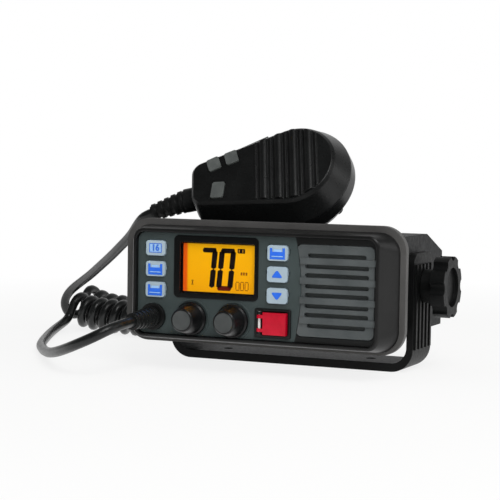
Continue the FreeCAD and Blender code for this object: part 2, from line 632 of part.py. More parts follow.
surroundLeftX = "(glassLeft - surroundSide)"
surroundRightX = "(glassRight + surroundRight)"
surroundLowZ = "(glassLow - surroundLow)"
surroundHighZ = "(glassHigh + surroundHigh)"
surroundX = f"(({surroundLeftX} + {surroundRightX}) / 2)"
surroundZ = f"(({surroundLowZ} + {surroundHighZ}) / 2)"
surroundWide = f"({surroundRightX} - {surroundLeftX})"
surroundTall = f"({surroundHighZ} - {surroundLowZ})"
keyPlaces = {
    "key_number": ("keyLeftX", "keyTopZ"),
    "key_left_middle": ("keyLeftX", "(keyTopZ - keyPitch)"),
    "key_left_lower": ("keyLeftX", "(keyTopZ - 2 * keyPitch)"),
    "key_right_upper": ("keyRightX", "keyTopZ"),
    "key_up": ("keyRightX", "(keyTopZ - keyPitch)"),
    "key_down": ("keyRightX", "(keyTopZ - 2 * keyPitch)"),
}
through = ("faceFront - 2", f"{faceBack} + 2")
rimWide = "(distressWide + 2 * distressRim)"
rimTall = "(distressTall + 2 * distressRim)"
faceTools = [
    grillePlate("GrilleHole", *through, "fitGap"),
    slab("SurroundHole", surroundX, surroundZ, f"({surroundWide} + 2 * shaftGap)", f"({surroundTall} + 2 * shaftGap)",
         *through, size("surroundCorner")),
    slab("RimHole", "distressX", "lowRowZ", f"({rimWide} + 2 * shaftGap)", f"({rimTall} + 2 * shaftGap)", *through, 1),
    rod("CordHole", "y", "reliefWide / 2 + shaftGap", *through, ("cordX", "lowRowZ")),
]
for x, z in keyPlaces.values():
    faceTools.append(slab(
        "KeyHole", x, z, "(keyWide + 2 * keyGap)", "(keyTall + 2 * keyGap)", *through, size("keyCorner")
    ))
    faceTools.append(slab(
        "KeyEars", x, f"{z} + keyTall / 8", "(keyWide + 2 * keyGap + 2 * keyEar)", "keyEarTall", "faceFront - 2",
        "faceFront + keyEarDepth", size("keyEar") * 0.9,
    ))
faceLow = f"(openingZ - {skirtTall} / 2)"
faceTools.append(box(
    "CollarTrim", (f"-{skirtWide} / 2", "faceFront - collarProud - 1", f"{faceLow} - collarWide"),
    (f"{skirtWide} / 2", f"{faceBack} + 1", faceLow),
))
for x in ("volumeX", "squelchX"):
    faceTools.append(rod("BushHole", "y", "potBush / 2 + shaftGap", *through, (x, "lowRowZ")))
plate = slab(
    "FaceSlab", "0", "openingZ", skirtWide, skirtTall, "faceFront", faceBack, size("openingCorner") - size("fitGap")
)
collars = [
    cut(
        "Collar",
        rod("CollarDisc", "y", "collarWide / 2", "faceFront - collarProud", "faceFront + 0.5", (x, "lowRowZ")),
        rod("CollarHole", "y", "collarWide / 2 - 0.7", "faceFront - 1", "faceFront + 1", (x, "lowRowZ")),
    )
    for x in ("volumeX", "squelchX")
]
named("faceplate", cut("Faceplate", fuse("FaceSolid", plate, *collars), *faceTools))

# ---- display: surround, glass, liquid crystal panel and backlight, one behind the other

glassX = "((glassLeft + glassRight) / 2)"
glassZ = "((glassLow + glassHigh) / 2)"
glassWide = "(glassRight - glassLeft)"
glassTall = "(glassHigh - glassLow)"
glassFront = "(faceFront + glassSink)"
glassBack = f"({glassFront} + glassThick)"
named("display_surround", cut(
    "Surround",
    slab("SurroundSlab", surroundX, surroundZ, surroundWide, surroundTall, "faceFront - surroundProud", faceBack,
         size("surroundCorner")),
    slab("GlassHole", glassX, glassZ, glassWide, glassTall, "faceFront - 2", glassBack, 0.8),
    slab("ViewHole", glassX, glassZ, f"({glassWide} - 1.6)", f"({glassTall} - 1.6)", "faceFront - 2",
         f"{faceBack} + 1", 0.6),
))
named("display_window", slab("Window", glassX, glassZ, glassWide, glassTall, glassFront, glassBack, 0.8))
crystalBack = f"({faceBack} + crystalThick)"
named("lcd_panel", slab("Crystal", glassX, glassZ, f"({glassWide} + 1)", f"({glassTall} + 1)", faceBack,
                        crystalBack, 0.5))
named("backlight_panel", slab("Backlight", glassX, glassZ, glassWide, glassTall, crystalBack, "boardFront", 0.5))

# ---- front keys, each with a flange that keeps it behind the faceplate

for label, (x, z) in keyPlaces.items():
    named(label, fuse(
        "KeySolid",
        slab("KeyCap", x, z, "keyWide", "keyTall", "faceFront - keyProud", f"{faceBack} + 0.5", size("keyCorner")),
        slab("KeyFlange", x, z, "(keyWide + 2 * keyFlange)", "(keyTall + 2 * keyFlange)", f"{faceBack} + sideGap / 3",
             f"{faceBack} + sideGap / 3 + keyFlangeThick", size("keyCorner")),
    ))
padFront = f"({faceBack} + sideGap / 3 + keyFlangeThick + keyTravel + 0.1)"
padBack = f"({padFront} + padThick)"
padSheet = cut(
    "PadSheet",
    box(
        "PadPlate",
        ("keyLeftX - keyWide / 2 - 1.5", padFront, "keyTopZ - 2 * keyPitch - keyTall / 2 - 1.5"),
        ("keyRightX + keyWide / 2 + 1.5", padBack, "keyTopZ + keyTall / 2 + 1.5"),
    ),
    box(
        "PadWindow",
        ("glassLeft - 1", f"{padFront} - 1", "glassLow - 1"), ("glassRight + 1", f"{padBack} + 1", "glassHigh + 10"),
    ),
)
padPosts = [rod("PadPost", "y", "2.4", f"{padBack} - 0.3", "boardFront", place) for place in keyPlaces.values()]
named("keypad_membrane", fuse("Membrane", padSheet, *padPosts))

# ---- potentiometers with their shafts, knobs and caps

pots = []
for x, word in (("volumeX", "volume"), ("squelchX", "squelch")):
    place = (x, "lowRowZ")
    pots.append(cut(
        "Pot",
        fuse(
            "PotSolid",
            box("PotCase", (f"{x} - potSize / 2", faceBack, "lowRowZ - potSize / 2"),
                (f"{x} + potSize / 2", "boardFront", "lowRowZ + potSize / 2")),
            rod("PotBush", "y", "potBush / 2", "faceFront", f"{faceBack} + 1", place),
        ),
        rod("PotBore", "y", "shaftWide / 2 + shaftGap", "faceFront - 1", "boardFront - 1", place),
    ))
    knobBack = "(faceFront - knobStand)"
    knobFront = f"({knobBack} - knobLong)"
    named(f"{word}_shaft", rod("Shaft", "y", "shaftWide / 2", f"{knobFront} + 4", "boardFront - 1.1", place))
    named(f"{word}_knob", turned(word.capitalize() + "Knob", [
        ("0", f"{knobFront} + capThick - 0.3"), ("capWide / 2", f"{knobFront} + capThick - 0.3"),
        ("capWide / 2", knobFront), ("knobTip / 2 - 0.6", knobFront), ("knobTip / 2", f"{knobFront} + 0.7"),
        ("knobWide / 2 - 0.8", f"{knobBack} - 2.6"), ("knobWide / 2", f"{knobBack} - 1.6"),
        ("knobWide / 2", knobBack), ("shaftWide / 2", knobBack), ("shaftWide / 2", f"{knobFront} + 4"),
        ("0", f"{knobFront} + 4"),
    ], x, "0", "lowRowZ"))
    named(f"{word}_cap", rod("Cap", "y", "capWide / 2", f"{knobFront} - 0.3", f"{knobFront} + capThick - 0.3", place))
named("potentiometers", group("Pots", *pots))

# ---- emergency key: rim, key, and the flip cover that turns on a pin at its left edge

rimFront = "(faceFront - rimProud)"
hingeX = "(distressX - distressWide / 2 + hingeWide / 2)"
hingeY = "(faceFront - hingeStand)"
lugLow = "(lowRowZ - distressTall / 2 - 0.3)"
lugHigh = "(lowRowZ + distressTall / 2 + 0.3)"
lugLong = "1.5"
rim = cut(
    "Rim",
    slab("RimSlab", "distressX", "lowRowZ", rimWide, rimTall, rimFront, faceBack, 1),
    slab("RimWell", "distressX", "lowRowZ", "(distressWide + 2 * sideGap)", "(distressTall + 2 * sideGap)",
         f"{rimFront} - 1", "faceFront", 0.8),
    slab("RimKeyHole", "distressX + hingeWide / 2", "lowRowZ", "(distressKeyWide + 2 * keyGap)",
         "(distressKeyTall + 2 * keyGap)", f"{rimFront} - 1", f"{faceBack} + 1", 0.8),
)
lugs = []
for start, end in ((lugLow, f"{lugLow} + {lugLong}"), (f"{lugHigh} - {lugLong}", lugHigh)):
    lugs.append(rod("Lug", "z", "hingeWide / 2", start, end, (hingeX, hingeY)))
    lugs.append(box(
        "LugFoot", (f"{hingeX} - hingeWide / 2", hingeY, start), (f"{hingeX} + hingeWide / 2", "faceFront + 0.2", end)
    ))
named("distress_frame", cut(
    "DistressFrame",
    fuse("DistressRim", rim, *lugs),
    rod("LugBore", "z", "hingePinWide / 2", f"{lugLow} - 1", f"{lugHigh} + 1", (hingeX, hingeY)),
))
named("distress_hinge_pin", rod("HingePin", "z", "hingePinWide / 2", lugLow, lugHigh, (hingeX, hingeY)))
flapLow = f"({lugLow} + {lugLong} + 0.2)"
flapHigh = f"({lugHigh} - {lugLong} - 0.2)"
flapFront = f"({hingeY} - hingeWide / 2)"
flapStart = f"({hingeX} + hingeWide / 2 + 0.9)"
flap = fuse(
    "Flap",
    box("FlapPlate", (flapStart, flapFront, "lowRowZ - distressTall / 2"),
        ("distressX + distressWide / 2", f"{flapFront} + coverPlate", "lowRowZ + distressTall / 2")),
    box("FlapEdge", ("distressX + distressWide / 2 - 1.1", flapFront, "lowRowZ - distressTall / 2"),
        ("distressX + distressWide / 2", "faceFront - sideGap", "lowRowZ + distressTall / 2")),
    *[box("FlapArm", (hingeX, flapFront, start), (f"{flapStart} + 1", f"{flapFront} + coverPlate", end))
      for start, end in ((flapLow, f"{flapLow} + 1.8"), (f"{flapHigh} - 1.8", flapHigh))],
    *[rod("FlapBarrel", "z", "hingeWide / 2", start, end, (hingeX, hingeY))
      for start, end in ((flapLow, f"{flapLow} + 1.8"), (f"{flapHigh} - 1.8", flapHigh))],
)
named("distress_cover", cut(
    "DistressCover", flap,
    rod("FlapBore", "z", "hingePinWide / 2 + shaftGap", f"{lugLow} - 1", f"{lugHigh} + 1", (hingeX, hingeY)),
))
keyX = "(distressX + hingeWide / 2)"
named("distress_key", fuse(
    "DistressKey",
    slab("DistressCap", keyX, "lowRowZ", "distressKeyWide", "distressKeyTall", "faceFront - 0.3",
         f"{faceBack} + 0.5", 0.8),
    slab("DistressFlange", keyX, "lowRowZ", "(distressKeyWide + 1.6)", "(distressKeyTall + 1.6)",
         f"{faceBack} + sideGap / 3", f"{faceBack} + sideGap / 3 + keyFlangeThick", 0.8),
))

# ---- circuit boards and the transmitter module

boardTools = []
frontBoard = box(
    "FrontBoardPlate",
    (f"-({skirtWide} / 2 - skirtWall - 1)", "boardFront", f"openingZ - {skirtTall} / 2 + skirtWall + 1"),
    ("speakerX - speakerWide / 2 - 2", "boardFront + boardThick", f"openingZ + {skirtTall} / 2 - skirtWall - 1"),
)
for z in ("panelScrewLow", "panelScrewHigh"):
    boardTools.append(box(
        "ScrewRoom",
        (f"-{skirtWide} / 2", "boardFront - 1", f"{z} - panelScrewHead / 2 - 0.6"),
        (f"-{postX} + panelScrewHead / 2 + 0.6", "boardFront + boardThick + 1", f"{z} + panelScrewHead / 2 + 0.6"),
    ))
named("front_circuit_board", cut("FrontBoard", rounded("FrontBoardEdge", frontBoard, "y", 2), *boardTools))
boardHigh = f"({boardLow} + boardThick)"
named("main_circuit_board", box(
    "MainBoard",
    (f"-({coverPostX} - coverPostWide / 2 - 0.5)", "chassisFront + 8", boardLow),
    (f"{coverPostX} - coverPostWide / 2 - 0.5", f"{inBack} - 3", boardHigh),
))
named("transmitter_module", fuse(
    "Transmitter",
    box("ModuleCase", ("moduleX - moduleWide / 2", f"{inBack} - moduleDeep", boardHigh),
        ("moduleX + moduleWide / 2", inBack, f"{boardHigh} + moduleTall")),
    box("ModuleTab", ("moduleX - moduleWide / 2 - 6", f"{inBack} - 2.5", boardHigh),
        ("moduleX + moduleWide / 2 + 6", inBack, f"{boardHigh} + moduleTall / 2")),
))

# ---- cord gland in the front panel: ring, neck and ribbed strain relief

reliefStart = "(faceFront - reliefCollar)"
place = ("cordX", "lowRowZ")
reliefPieces = [rod("ReliefCone", "y", "reliefTip / 2", "-reliefLong", "1", ("0", "0"), "reliefWide / 2")]
for step in range(int(size("reliefRibs"))):
    share = f"({step + 0.5} / reliefRibs)"
    radius = f"(reliefWide / 2 - (reliefWide - reliefTip) / 2 * {share} + reliefRibProud)"
    reliefPieces.append(rod(
        "ReliefRib", "y", radius, f"-reliefLong * ({share} + 0.25 / reliefRibs)",
        f"-reliefLong * ({share} - 0.25 / reliefRibs)",
    ))
relief = fuse("Relief", *reliefPieces)
relief.Placement.Rotation = Rotation(Vector(1, 0, 0), size("reliefDrop"))
for letter, formula in zip(letters, ("cordX", reliefStart, "lowRowZ")):
    bind(relief, "Placement.Base." + letter, formula)
named("cord_gland", fuse(
    "CordGland",
    rod("ReliefRing", "y", "reliefRing / 2", reliefStart, "faceFront", place),
    rod("ReliefNeck", "y", "reliefWide / 2", "faceFront - 1", f"{faceBack} + 1.5", place),
    relief,
))

# ---- microphone, modelled about its own face: +X towards its head, +Y to the talk key, +Z out of the face


def pearOutline(grow, height, head, headAt, tail, tailAt, half):
    """The microphone's outline at one height: a wide head and a tail with two rounded corners."""
    wide = head + grow
    narrow = max(tail + grow, 0.4)
    side = math.asin((wide - narrow) / math.hypot(headAt - tailAt, half)) - math.atan2(half, headAt - tailAt)
    normal = Vector(-math.sin(side), math.cos(side), 0)
    headUp = Vector(headAt, 0, height) + normal * wide
    tailUp = Vector(tailAt, half, height) + normal * narrow
    endUp = Vector(tailAt - narrow, half, height)
    middleTurn = Vector(-1, 0, 0) + normal
    middleTurn.normalize()
    cornerUp = Vector(tailAt, half, height) + middleTurn * narrow

    def down(point):
        return Vector(point.x, -point.y, point.z)

    edges = [
        Part.Arc(down(headUp), Vector(headAt + wide, 0, height), headUp),
        Part.LineSegment(headUp, tailUp),
        Part.Arc(tailUp, cornerUp, endUp),
        Part.LineSegment(endUp, down(endUp)),
        Part.Arc(down(endUp), down(cornerUp), down(tailUp)),
        Part.LineSegment(down(tailUp), down(headUp)),
    ]
    return Part.Wire([edge.toShape() for edge in edges]), side


faceSizes = [size(word) for word in ("micFaceRadius", "micFaceAt", "micFaceTail", "micFaceTailAt", "micFaceTailHalf")]
bodySizes = [size(word) for word in ("micHeadRadius", "micHeadAt", "micTailRadius", "micTailAt", "micTailHalf")]


def faceLoop(grow, height):
    return pearOutline(grow, height, *faceSizes)[0]


def bodyLoop(grow, height):
    return pearOutline(grow, height, *bodySizes)[0]


def lofted(*loops):
    return Part.makeLoft(list(loops), True, True)


def disc(radius, x, y, low, high):
    return Part.makeCylinder(radius, high - low, Vector(x, y, low))


def tile(long, tall, low, high, x, y, turn, corner=1.2):
    """A small upright block with rounded corners, turned in the plane of the face."""
    block = Part.makeBox(long, tall, high - low, Vector(-long / 2, -tall / 2, low))
    block = block.makeFillet(corner, [e for e in block.Edges if abs(e.tangentAt(e.FirstParameter).z) > 0.9])
    block.Placement = Placement(Vector(x, y, 0), Rotation(Vector(0, 0, 1), turn))
    return block


wall = size("micWall")
frontLow = -size("micFrontDepth")
rearHigh = frontLow - size("micSeam")
bandLow = -size("micBandDepth")
rearLow = -size("micFullDepth")
boardTop = -size("micBoardDepth")
boardBottom = boardTop - size("boardThick")
taper = (bandLow - rearLow) / math.tan(math.radians(size("micTilt")))
sideTurn = math.degrees(pearOutline(0, 0, *bodySizes)[1])
keyGap = size("keyGap")

micKeys = {
    "mic_upper_key_left": (size("micKeyTall"), size("micKeyAt"), size("micKeyUp"), sideTurn),
    "mic_upper_key_right": (
        size("micKeyTall"), size("micKeyAt") + size("micKeyPitch"),
        size("micKeyUp") + size("micKeyPitch") * math.tan(math.radians(sideTurn)) * 0.7, sideTurn * 0.8,
    ),
    "mic_lower_key": (size("micLowerTall"), size("micKeyAt") + 2.3, -size("micKeyDown"), -sideTurn * 0.6),
}
screwSpots = [
    (size("micHeadAt") + size("micHeadRadius") * 0.55, size("micHeadRadius") * 0.43),
    (size("micHeadAt") + size("micHeadRadius") * 0.55, -size("micHeadRadius") * 0.43),
    (size("micTailAt") - size("micTailRadius") * 0.45, 0),
]

# the talk key lies along the upper side; its own X runs along that side and its own Y points out of it
sideNormal = Vector(-math.sin(math.radians(sideTurn)), math.cos(math.radians(sideTurn)), 0)
sideAlong = Vector(math.cos(math.radians(sideTurn)), math.sin(math.radians(sideTurn)), 0)
tailCorner = Vector(size("micTailAt"), size("micTailHalf"), 0) + sideNormal * size("micTailRadius")
talkSpot = Placement(
    tailCorner + sideAlong * size("talkAlong") + Vector(0, 0, -size("talkDepth")),
    Rotation(Vector(0, 0, 1), sideTurn),
)


def talkBlock(long, wide, inner, outer):
    block = Part.makeBox(long, outer - inner, wide, Vector(-long / 2, inner, -wide / 2))
    block.Placement = talkSpot
    return block


talkLong, talkWide = size("talkLong"), size("talkWide")
talkInner = -wall - 3
talkHole = talkBlock(talkLong + 2 * keyGap, talkWide + 2 * keyGap, talkInner - 1, 6)
talkRoom = talkBlock(talkLong + 6, talkWide + 4, talkInner - size("talkTravel") - 2, talkInner + 0.5)
talkKey = talkBlock(talkLong, talkWide, talkInner, size("talkProud"))
talkKey = talkKey.makeFillet(1, [
    edge for edge in talkKey.Edges
    if (edge.CenterOfMass - talkSpot.Base).dot(sideNormal) > size("talkProud") - 0.01
])
talkKey = talkKey.fuse(talkBlock(talkLong + 3, talkWide + 2, talkInner - 1, talkInner)).removeSplitter()

frontSolid = lofted(faceLoop(-size("micEdge"), 0), faceLoop(0, -size("micEdge")), bodyLoop(0, frontLow))
frontSolid = frontSolid.cut(lofted(faceLoop(-wall - 0.4, -wall), bodyLoop(-wall, frontLow - 0.01)))
ridgeSpots = [size("ridgeLast") - step * size("ridgePitch") for step in range(int(size("ridgeCount")))]
ribSpots = [spot - size("ridgePitch") / 2 for spot in [ridgeSpots[0] + size("ridgePitch")] + ridgeSpots]
for spots, wide, proud in (
    (ridgeSpots, size("ridgeWide"), size("ridgeProud")), (ribSpots, size("ribWide"), size("ribProud")),
):
    face = Part.Face(faceLoop(-size("micEdge") - 0.5, -0.5)).extrude(Vector(0, 0, proud + 1))
    crown = (wide ** 2 / 4 + proud ** 2) / (2 * proud)
    for middle in spots:
        bar = Part.makeCylinder(
            crown, 4 * size("micHeadRadius"), Vector(middle, -2 * size("micHeadRadius"), proud - crown), Vector(0, 1, 0)
        )
        frontSolid = frontSolid.fuse(bar.common(face))
for x, y in screwSpots:
    frontSolid = frontSolid.fuse(disc(3, x, y, frontLow, -wall / 2)).cut(disc(1.3, x, y, frontLow - 1, -wall - 2))
for tall, x, y, turn in micKeys.values():
    frontSolid = frontSolid.cut(tile(
        size("micKeyLong") + 2 * keyGap, tall + 2 * keyGap, -wall - 1, size("ridgeProud") + 1, x, y, turn
    )).cut(tile(
        size("micKeyLong") + 1.4 + 2 * keyGap, tall + 1.4 + 2 * keyGap, -wall - 1.2 - size("micKeyTravel"),
        -wall, x, y, turn
    ))
frontSolid = frontSolid.cut(talkHole).removeSplitter()

rearSolid = lofted(bodyLoop(0, rearHigh), bodyLoop(0, bandLow), bodyLoop(-taper, rearLow))
rearSolid = rearSolid.cut(lofted(
    bodyLoop(-wall, rearHigh + 0.01), bodyLoop(-wall, bandLow), bodyLoop(-wall - taper * 0.8, rearLow + wall)
))
glandStart = Vector(size("micTailAt") - size("micTailRadius") - size("micGlandCollar"), 0, -size("micGlandDepth"))
glandNeck = Part.makeCylinder(
    size("micGlandWide") * 0.4, size("micGlandCollar") + wall, glandStart, Vector(1, 0, 0)
)
glandBore = Part.makeCylinder(
    size("micGlandWide") * 0.4 + size("shaftGap"), size("micGlandCollar") + wall + 1, glandStart, Vector(1, 0, 0)
)
studAt = size("micHeadAt")
for x, y in screwSpots:
    rearSolid = rearSolid.fuse(disc(3, x, y, rearLow + 1, rearHigh))
    rearSolid = rearSolid.cut(disc(1.3, x, y, rearLow - 1, rearHigh + 1)).cut(disc(2.4, x, y, rearLow - 1, rearLow + 1.5))
rearSolid = rearSolid.cut(talkHole).cut(glandBore).cut(disc(3.2, studAt, 0, rearLow - 1, rearLow + wall + 1))
frontSolid = frontSolid.cut(glandBore)

lean = Rotation(Vector(1, 0, 0), size("micTilt")).multiply(Rotation(Vector(0, 0, 1), sideTurn))
lowest = min(lean.multVec(vertex.Point).z for vertex in rearSolid.Vertexes)
micPlace = Placement(Vector(size("micX"), size("micY"), size("chassisTop") - lowest), lean)

shaped("mic_front_cover", frontSolid, micPlace)
shaped("mic_rear_shell", rearSolid.removeSplitter(), micPlace)
shaped("mic_talk_key", talkKey, micPlace)
for label, (tall, x, y, turn) in micKeys.items():
    keySolid = tile(size("micKeyLong"), tall, -wall - 0.4, size("micKeyProud"), x, y, turn)
    flangeSolid = tile(size("micKeyLong") + 1.4, tall + 1.4, -wall - 0.9, -wall - 0.1, x, y, turn)
    stem = disc(1.8, x, y, boardTop + size("micKeyTravel") + 0.1, -wall - 0.5)
    shaped(label, keySolid.fuse([flangeSolid, stem]).removeSplitter(), micPlace)
micBoard = Part.Face(bodyLoop(-wall - 5.5, boardBottom)).extrude(Vector(0, 0, size("boardThick")))
for x, y in screwSpots:
    micBoard = micBoard.cut(disc(3.4, x, y, boardBottom - 1, boardTop + 1))
shaped("mic_circuit_board", micBoard.cut(talkRoom), micPlace)
capsuleHigh = -wall - 1
shaped("mic_capsule", disc(size("capsuleWide") / 2, -size("capsuleWide") * 1.2, 0, boardTop, capsuleHigh), micPlace)
shaped("mic_hang_stud", disc(3.2, studAt, 0, rearLow + wall, rearLow + wall + 1).fuse([
    disc(3.2, studAt, 0, rearLow - size("studLong") + 1.5, rearLow + wall + 0.5),
    disc(size("studWide") / 2, studAt, 0, rearLow - size("studLong"), rearLow - size("studLong") + 2),
]).removeSplitter(), micPlace)
shaped("mic_screws", Part.makeCompound([
    disc(2.4, x, y, rearLow, rearLow + 1.5).fuse(disc(1.3, x, y, rearLow, frontLow + 6)).removeSplitter()
    for x, y in screwSpots
]), micPlace)

glandLean = Rotation(Vector(0, 0, 1), size("micGlandDrop")).multVec(Vector(-1, 0, 0))
glandPieces = [glandNeck, Part.makeCylinder(
    size("micGlandWide") * 0.57, size("micGlandCollar") - size("micSeam"), glandStart, Vector(1, 0, 0)
)]
glandWide, glandTip, glandLong = size("micGlandWide") / 2, size("micGlandTip") / 2, size("micGlandLong")
glandPieces.append(Part.makeCone(glandWide, glandTip, glandLong, glandStart, glandLean))
glandPieces.append(Part.makeSphere(glandWide, glandStart))
ribCount = int(size("micGlandRibs"))
for step in range(ribCount):
    share = (step + 0.5) / ribCount
    ribRadius = glandWide - (glandWide - glandTip) * share + size("reliefRibProud")
    ribLong = glandLong / ribCount / 2
    glandPieces.append(Part.makeCylinder(
        ribRadius, ribLong, glandStart + glandLean * (glandLong * share - ribLong / 2), glandLean
    ))
shaped("mic_strain_relief", glandPieces[0].fuse(glandPieces[1:]).removeSplitter(), micPlace)
glandEnd = micPlace.multVec(glandStart + glandLean * glandLong)
glandOut = lean.multVec(glandLean)
print("microphone face centre", [round(c, 2) for c in micPlace.Base], "side turn", round(sideTurn, 2))
print("gland end", [round(c, 2) for c in glandEnd], "direction", [round(c, 3) for c in glandOut])
print("talk key slides along", [round(-c, 4) for c in lean.multVec(sideNormal)])
print("microphone keys slide along", [round(-c, 4) for c in lean.multVec(Vector(0, 0, 1))])

# ---- the cord: a lead from the panel to the floor, a folded curly stretch behind, and a tail up to the microphone


def tube(name, points, radius):
    """A round tube along straight runs joined by tangent arcs; prints its radii and compares its volume."""
    route = [Vector(*point) for point in points]
    edges, radii, start = [], [], route[0]
    for before, corner, after in zip(route, route[1:], route[2:]):
        run, onward = corner - before, after - corner
        reach = 0.45 * min(run.Length, onward.Length)
        half = run.getAngle(onward) / 2
        bend = reach / math.tan(half)
        radii.append(bend)
        run.normalize()
        onward.normalize()
        inward = onward - run
        inward.normalize()
        first, last = corner - run * reach, corner + onward * reach
        middle = corner + inward * (bend / math.cos(half) - bend)
        edges += [Part.LineSegment(start, first), Part.Arc(first, middle, last)]
        start = last
    edges.append(Part.LineSegment(start, route[-1]))
    path = Part.Wire([edge.toShape() for edge in edges])
    ring = Part.Wire(Part.Circle(route[0], route[1] - route[0], radius).toShape())
    solid = path.makePipeShell([ring], True, False)
    print(name, "length", round(path.Length, 1), "radii", [round(bend, 1) for bend in radii],
          "volume against section times length", round(solid.Volume / (math.pi * radius ** 2 * path.Length), 4))
    return solid


cordRadius = size("cordWide") / 2
coilRadius = size("coilWide") / 2
doc.recompute()
leadStart = relief.Placement.multVec(Vector(0, -size("reliefLong"), 0))
leadOut = relief.Placement.Rotation.multVec(Vector(0, -1, 0))
coilAlong = Rotation(Vector(0, 0, 1), -size("coilTurn")).multVec(Vector(1, 0, 0))
coilAcross = Rotation(Vector(0, 0, 1), -size("coilTurn")).multVec(Vector(0, 1, 0))
loopRadius = (size("coilWide") + size("coilGap")) / 2
coilStart = Vector(size("coilX"), size("coilY"), coilRadius)
bendStart = coilStart + coilAlong * size("coilLong")
bendEnd = bendStart + coilAcross * loopRadius * 2
coilEnd = bendEnd - coilAlong * size("coilRearLong")
shaped("microphone_lead", tube("microphone_lead", [
    leadStart, leadStart + leadOut * 9.5, (-59.8, -107.4, 24.6), (-66, -113, 20.6), (-75.6, -112.6, 16.4),
    (-85, -107, 13), (-96.5, -97, 9.5), (-109.5, -82.5, 6.4), (-123, -65, 4.3), (-136, -47, 3.2), (-148, -29.5, 2.9),
    (-164, 3, 2.8), (-174.5, 26, 2.9), (-181, 44, 4.2), (-184.2, 58.5, 6.4), (-181.6, 71.5, 8.6),
], cordRadius))
coilPath = Part.Wire([edge.toShape() for edge in (
    Part.LineSegment(coilStart, bendStart),
    Part.Arc(bendStart, bendStart + (coilAcross + coilAlong) * loopRadius, bendEnd),
    Part.LineSegment(bendEnd, coilEnd),
)])
coilRing = Part.Wire(Part.Circle(coilStart, coilAlong, coilRadius).toShape())
shaped("microphone_coil", coilPath.makePipeShell([coilRing], True, False))
shaped("microphone_tail", tube("microphone_tail", [
    glandEnd, glandEnd + glandOut * 4.2, (-89.2, -22.8, 76.3), (-94.2, -17.6, 72.7), (-103.7, -5, 65.4),
    (-116.1, 6, 58.6), (-130.4, 20, 51.4), (-145, 34, 44.5), (-159.5, 47.5, 37.5), (-173.8, 60, 31.1),
    (-184.5, 69.5, 25), (-191.5, 77.5, 19), (-194.3, 86.8, 14), (-191.3, 95.3, 11.2), (-183, 99, 10.4),
], cordRadius))

# ---- check and write

doc.recompute()
for thing in doc.Objects:
    if "Invalid" in thing.State or "Error" in thing.State:
        raise RuntimeError(f"{thing.Name} is {thing.State}")
for label, thing in subParts.items():
    if thing.Shape.isNull() or not thing.Shape.isValid() or not thing.Shape.Solids:
        raise RuntimeError(f"{label} has no valid solid")
os.makedirs("parts", exist_ok=True)
for label, thing in subParts.items():
    thing.Shape.exportStep(f"parts/{label}.step")
print(len(subParts), "sub-parts written")
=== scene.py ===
import math

import bpy
from mathutils import Matrix, Vector


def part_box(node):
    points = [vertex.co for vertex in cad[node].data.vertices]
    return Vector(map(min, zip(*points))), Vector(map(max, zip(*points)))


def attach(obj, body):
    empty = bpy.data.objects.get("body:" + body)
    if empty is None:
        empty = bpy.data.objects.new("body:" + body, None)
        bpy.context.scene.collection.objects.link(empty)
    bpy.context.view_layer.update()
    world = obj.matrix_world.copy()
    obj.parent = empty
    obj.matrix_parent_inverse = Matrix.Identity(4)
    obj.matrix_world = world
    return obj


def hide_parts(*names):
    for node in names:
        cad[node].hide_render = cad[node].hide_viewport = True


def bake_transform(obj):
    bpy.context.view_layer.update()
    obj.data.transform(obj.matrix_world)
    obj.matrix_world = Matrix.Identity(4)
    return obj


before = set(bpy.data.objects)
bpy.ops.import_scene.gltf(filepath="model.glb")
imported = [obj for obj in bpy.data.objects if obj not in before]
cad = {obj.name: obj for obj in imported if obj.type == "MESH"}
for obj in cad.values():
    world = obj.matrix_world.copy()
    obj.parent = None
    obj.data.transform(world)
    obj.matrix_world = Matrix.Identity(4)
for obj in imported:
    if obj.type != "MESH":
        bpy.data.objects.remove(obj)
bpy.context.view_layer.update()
print("packed model loaded:", len(cad), "nodes")

mm = 0.001


def colour(hexValue):  # sRGB hex to linear
    parts = [int(hexValue[k : k + 2], 16) / 255 for k in (1, 3, 5)]
    return [p / 12.92 if p <= 0.04045 else ((p + 0.055) / 1.055) ** 2.4 for p in parts] + [1.0]


def addNode(tree, kind, inputs=None, **settings):  # a node, its settings and what goes into it
    made = tree.nodes.new(kind)
    for name, value in settings.items():
        setattr(made, name, value)
    for socket, value in (inputs or {}).items():
        if isinstance(value, bpy.types.NodeSocket):
            tree.links.new(value, made.inputs[socket])
        else:
            made.inputs[socket].default_value = value
    return made


def deselect():
    if bpy.context.object and bpy.context.object.mode != "OBJECT":
        bpy.ops.object.mode_set(mode="OBJECT")
    bpy.ops.object.select_all(action="DESELECT")


# the camera: 24 degrees round to the right, just above the panel, rolled by a degree
shot = {"azimuth": 23.86, "elevation": 3.49, "roll": 0.91, "lens": 115.2, "sensor": 36, "distance": 0.8256,
        "target": (-0.00225, -0.0635, 0.06475)}


def placeCamera():
    azimuth, elevation, roll = (math.radians(shot[k]) for k in ("azimuth", "elevation", "roll"))
    back = Vector((math.sin(azimuth) * math.cos(elevation), -math.cos(azimuth) * math.cos(elevation),
                   math.sin(elevation)))
    level = Vector((math.cos(azimuth), math.sin(azimuth), 0))
    up = back.cross(level)
    across = level * math.cos(roll) + up * math.sin(roll)
    upright = up * math.cos(roll) - level * math.sin(roll)
    place = Vector(shot["target"]) + back * shot["distance"]
    deselect()
    bpy.ops.object.camera_add()
    camera = bpy.context.object
    camera.matrix_world = Matrix([[across[k], upright[k], back[k], place[k]] for k in range(3)] + [[0, 0, 0, 1]])
    camera.data.sensor_width = shot["sensor"]
    camera.data.lens = shot["lens"]
    bpy.context.scene.camera = camera


placeCamera()
print("camera placed")

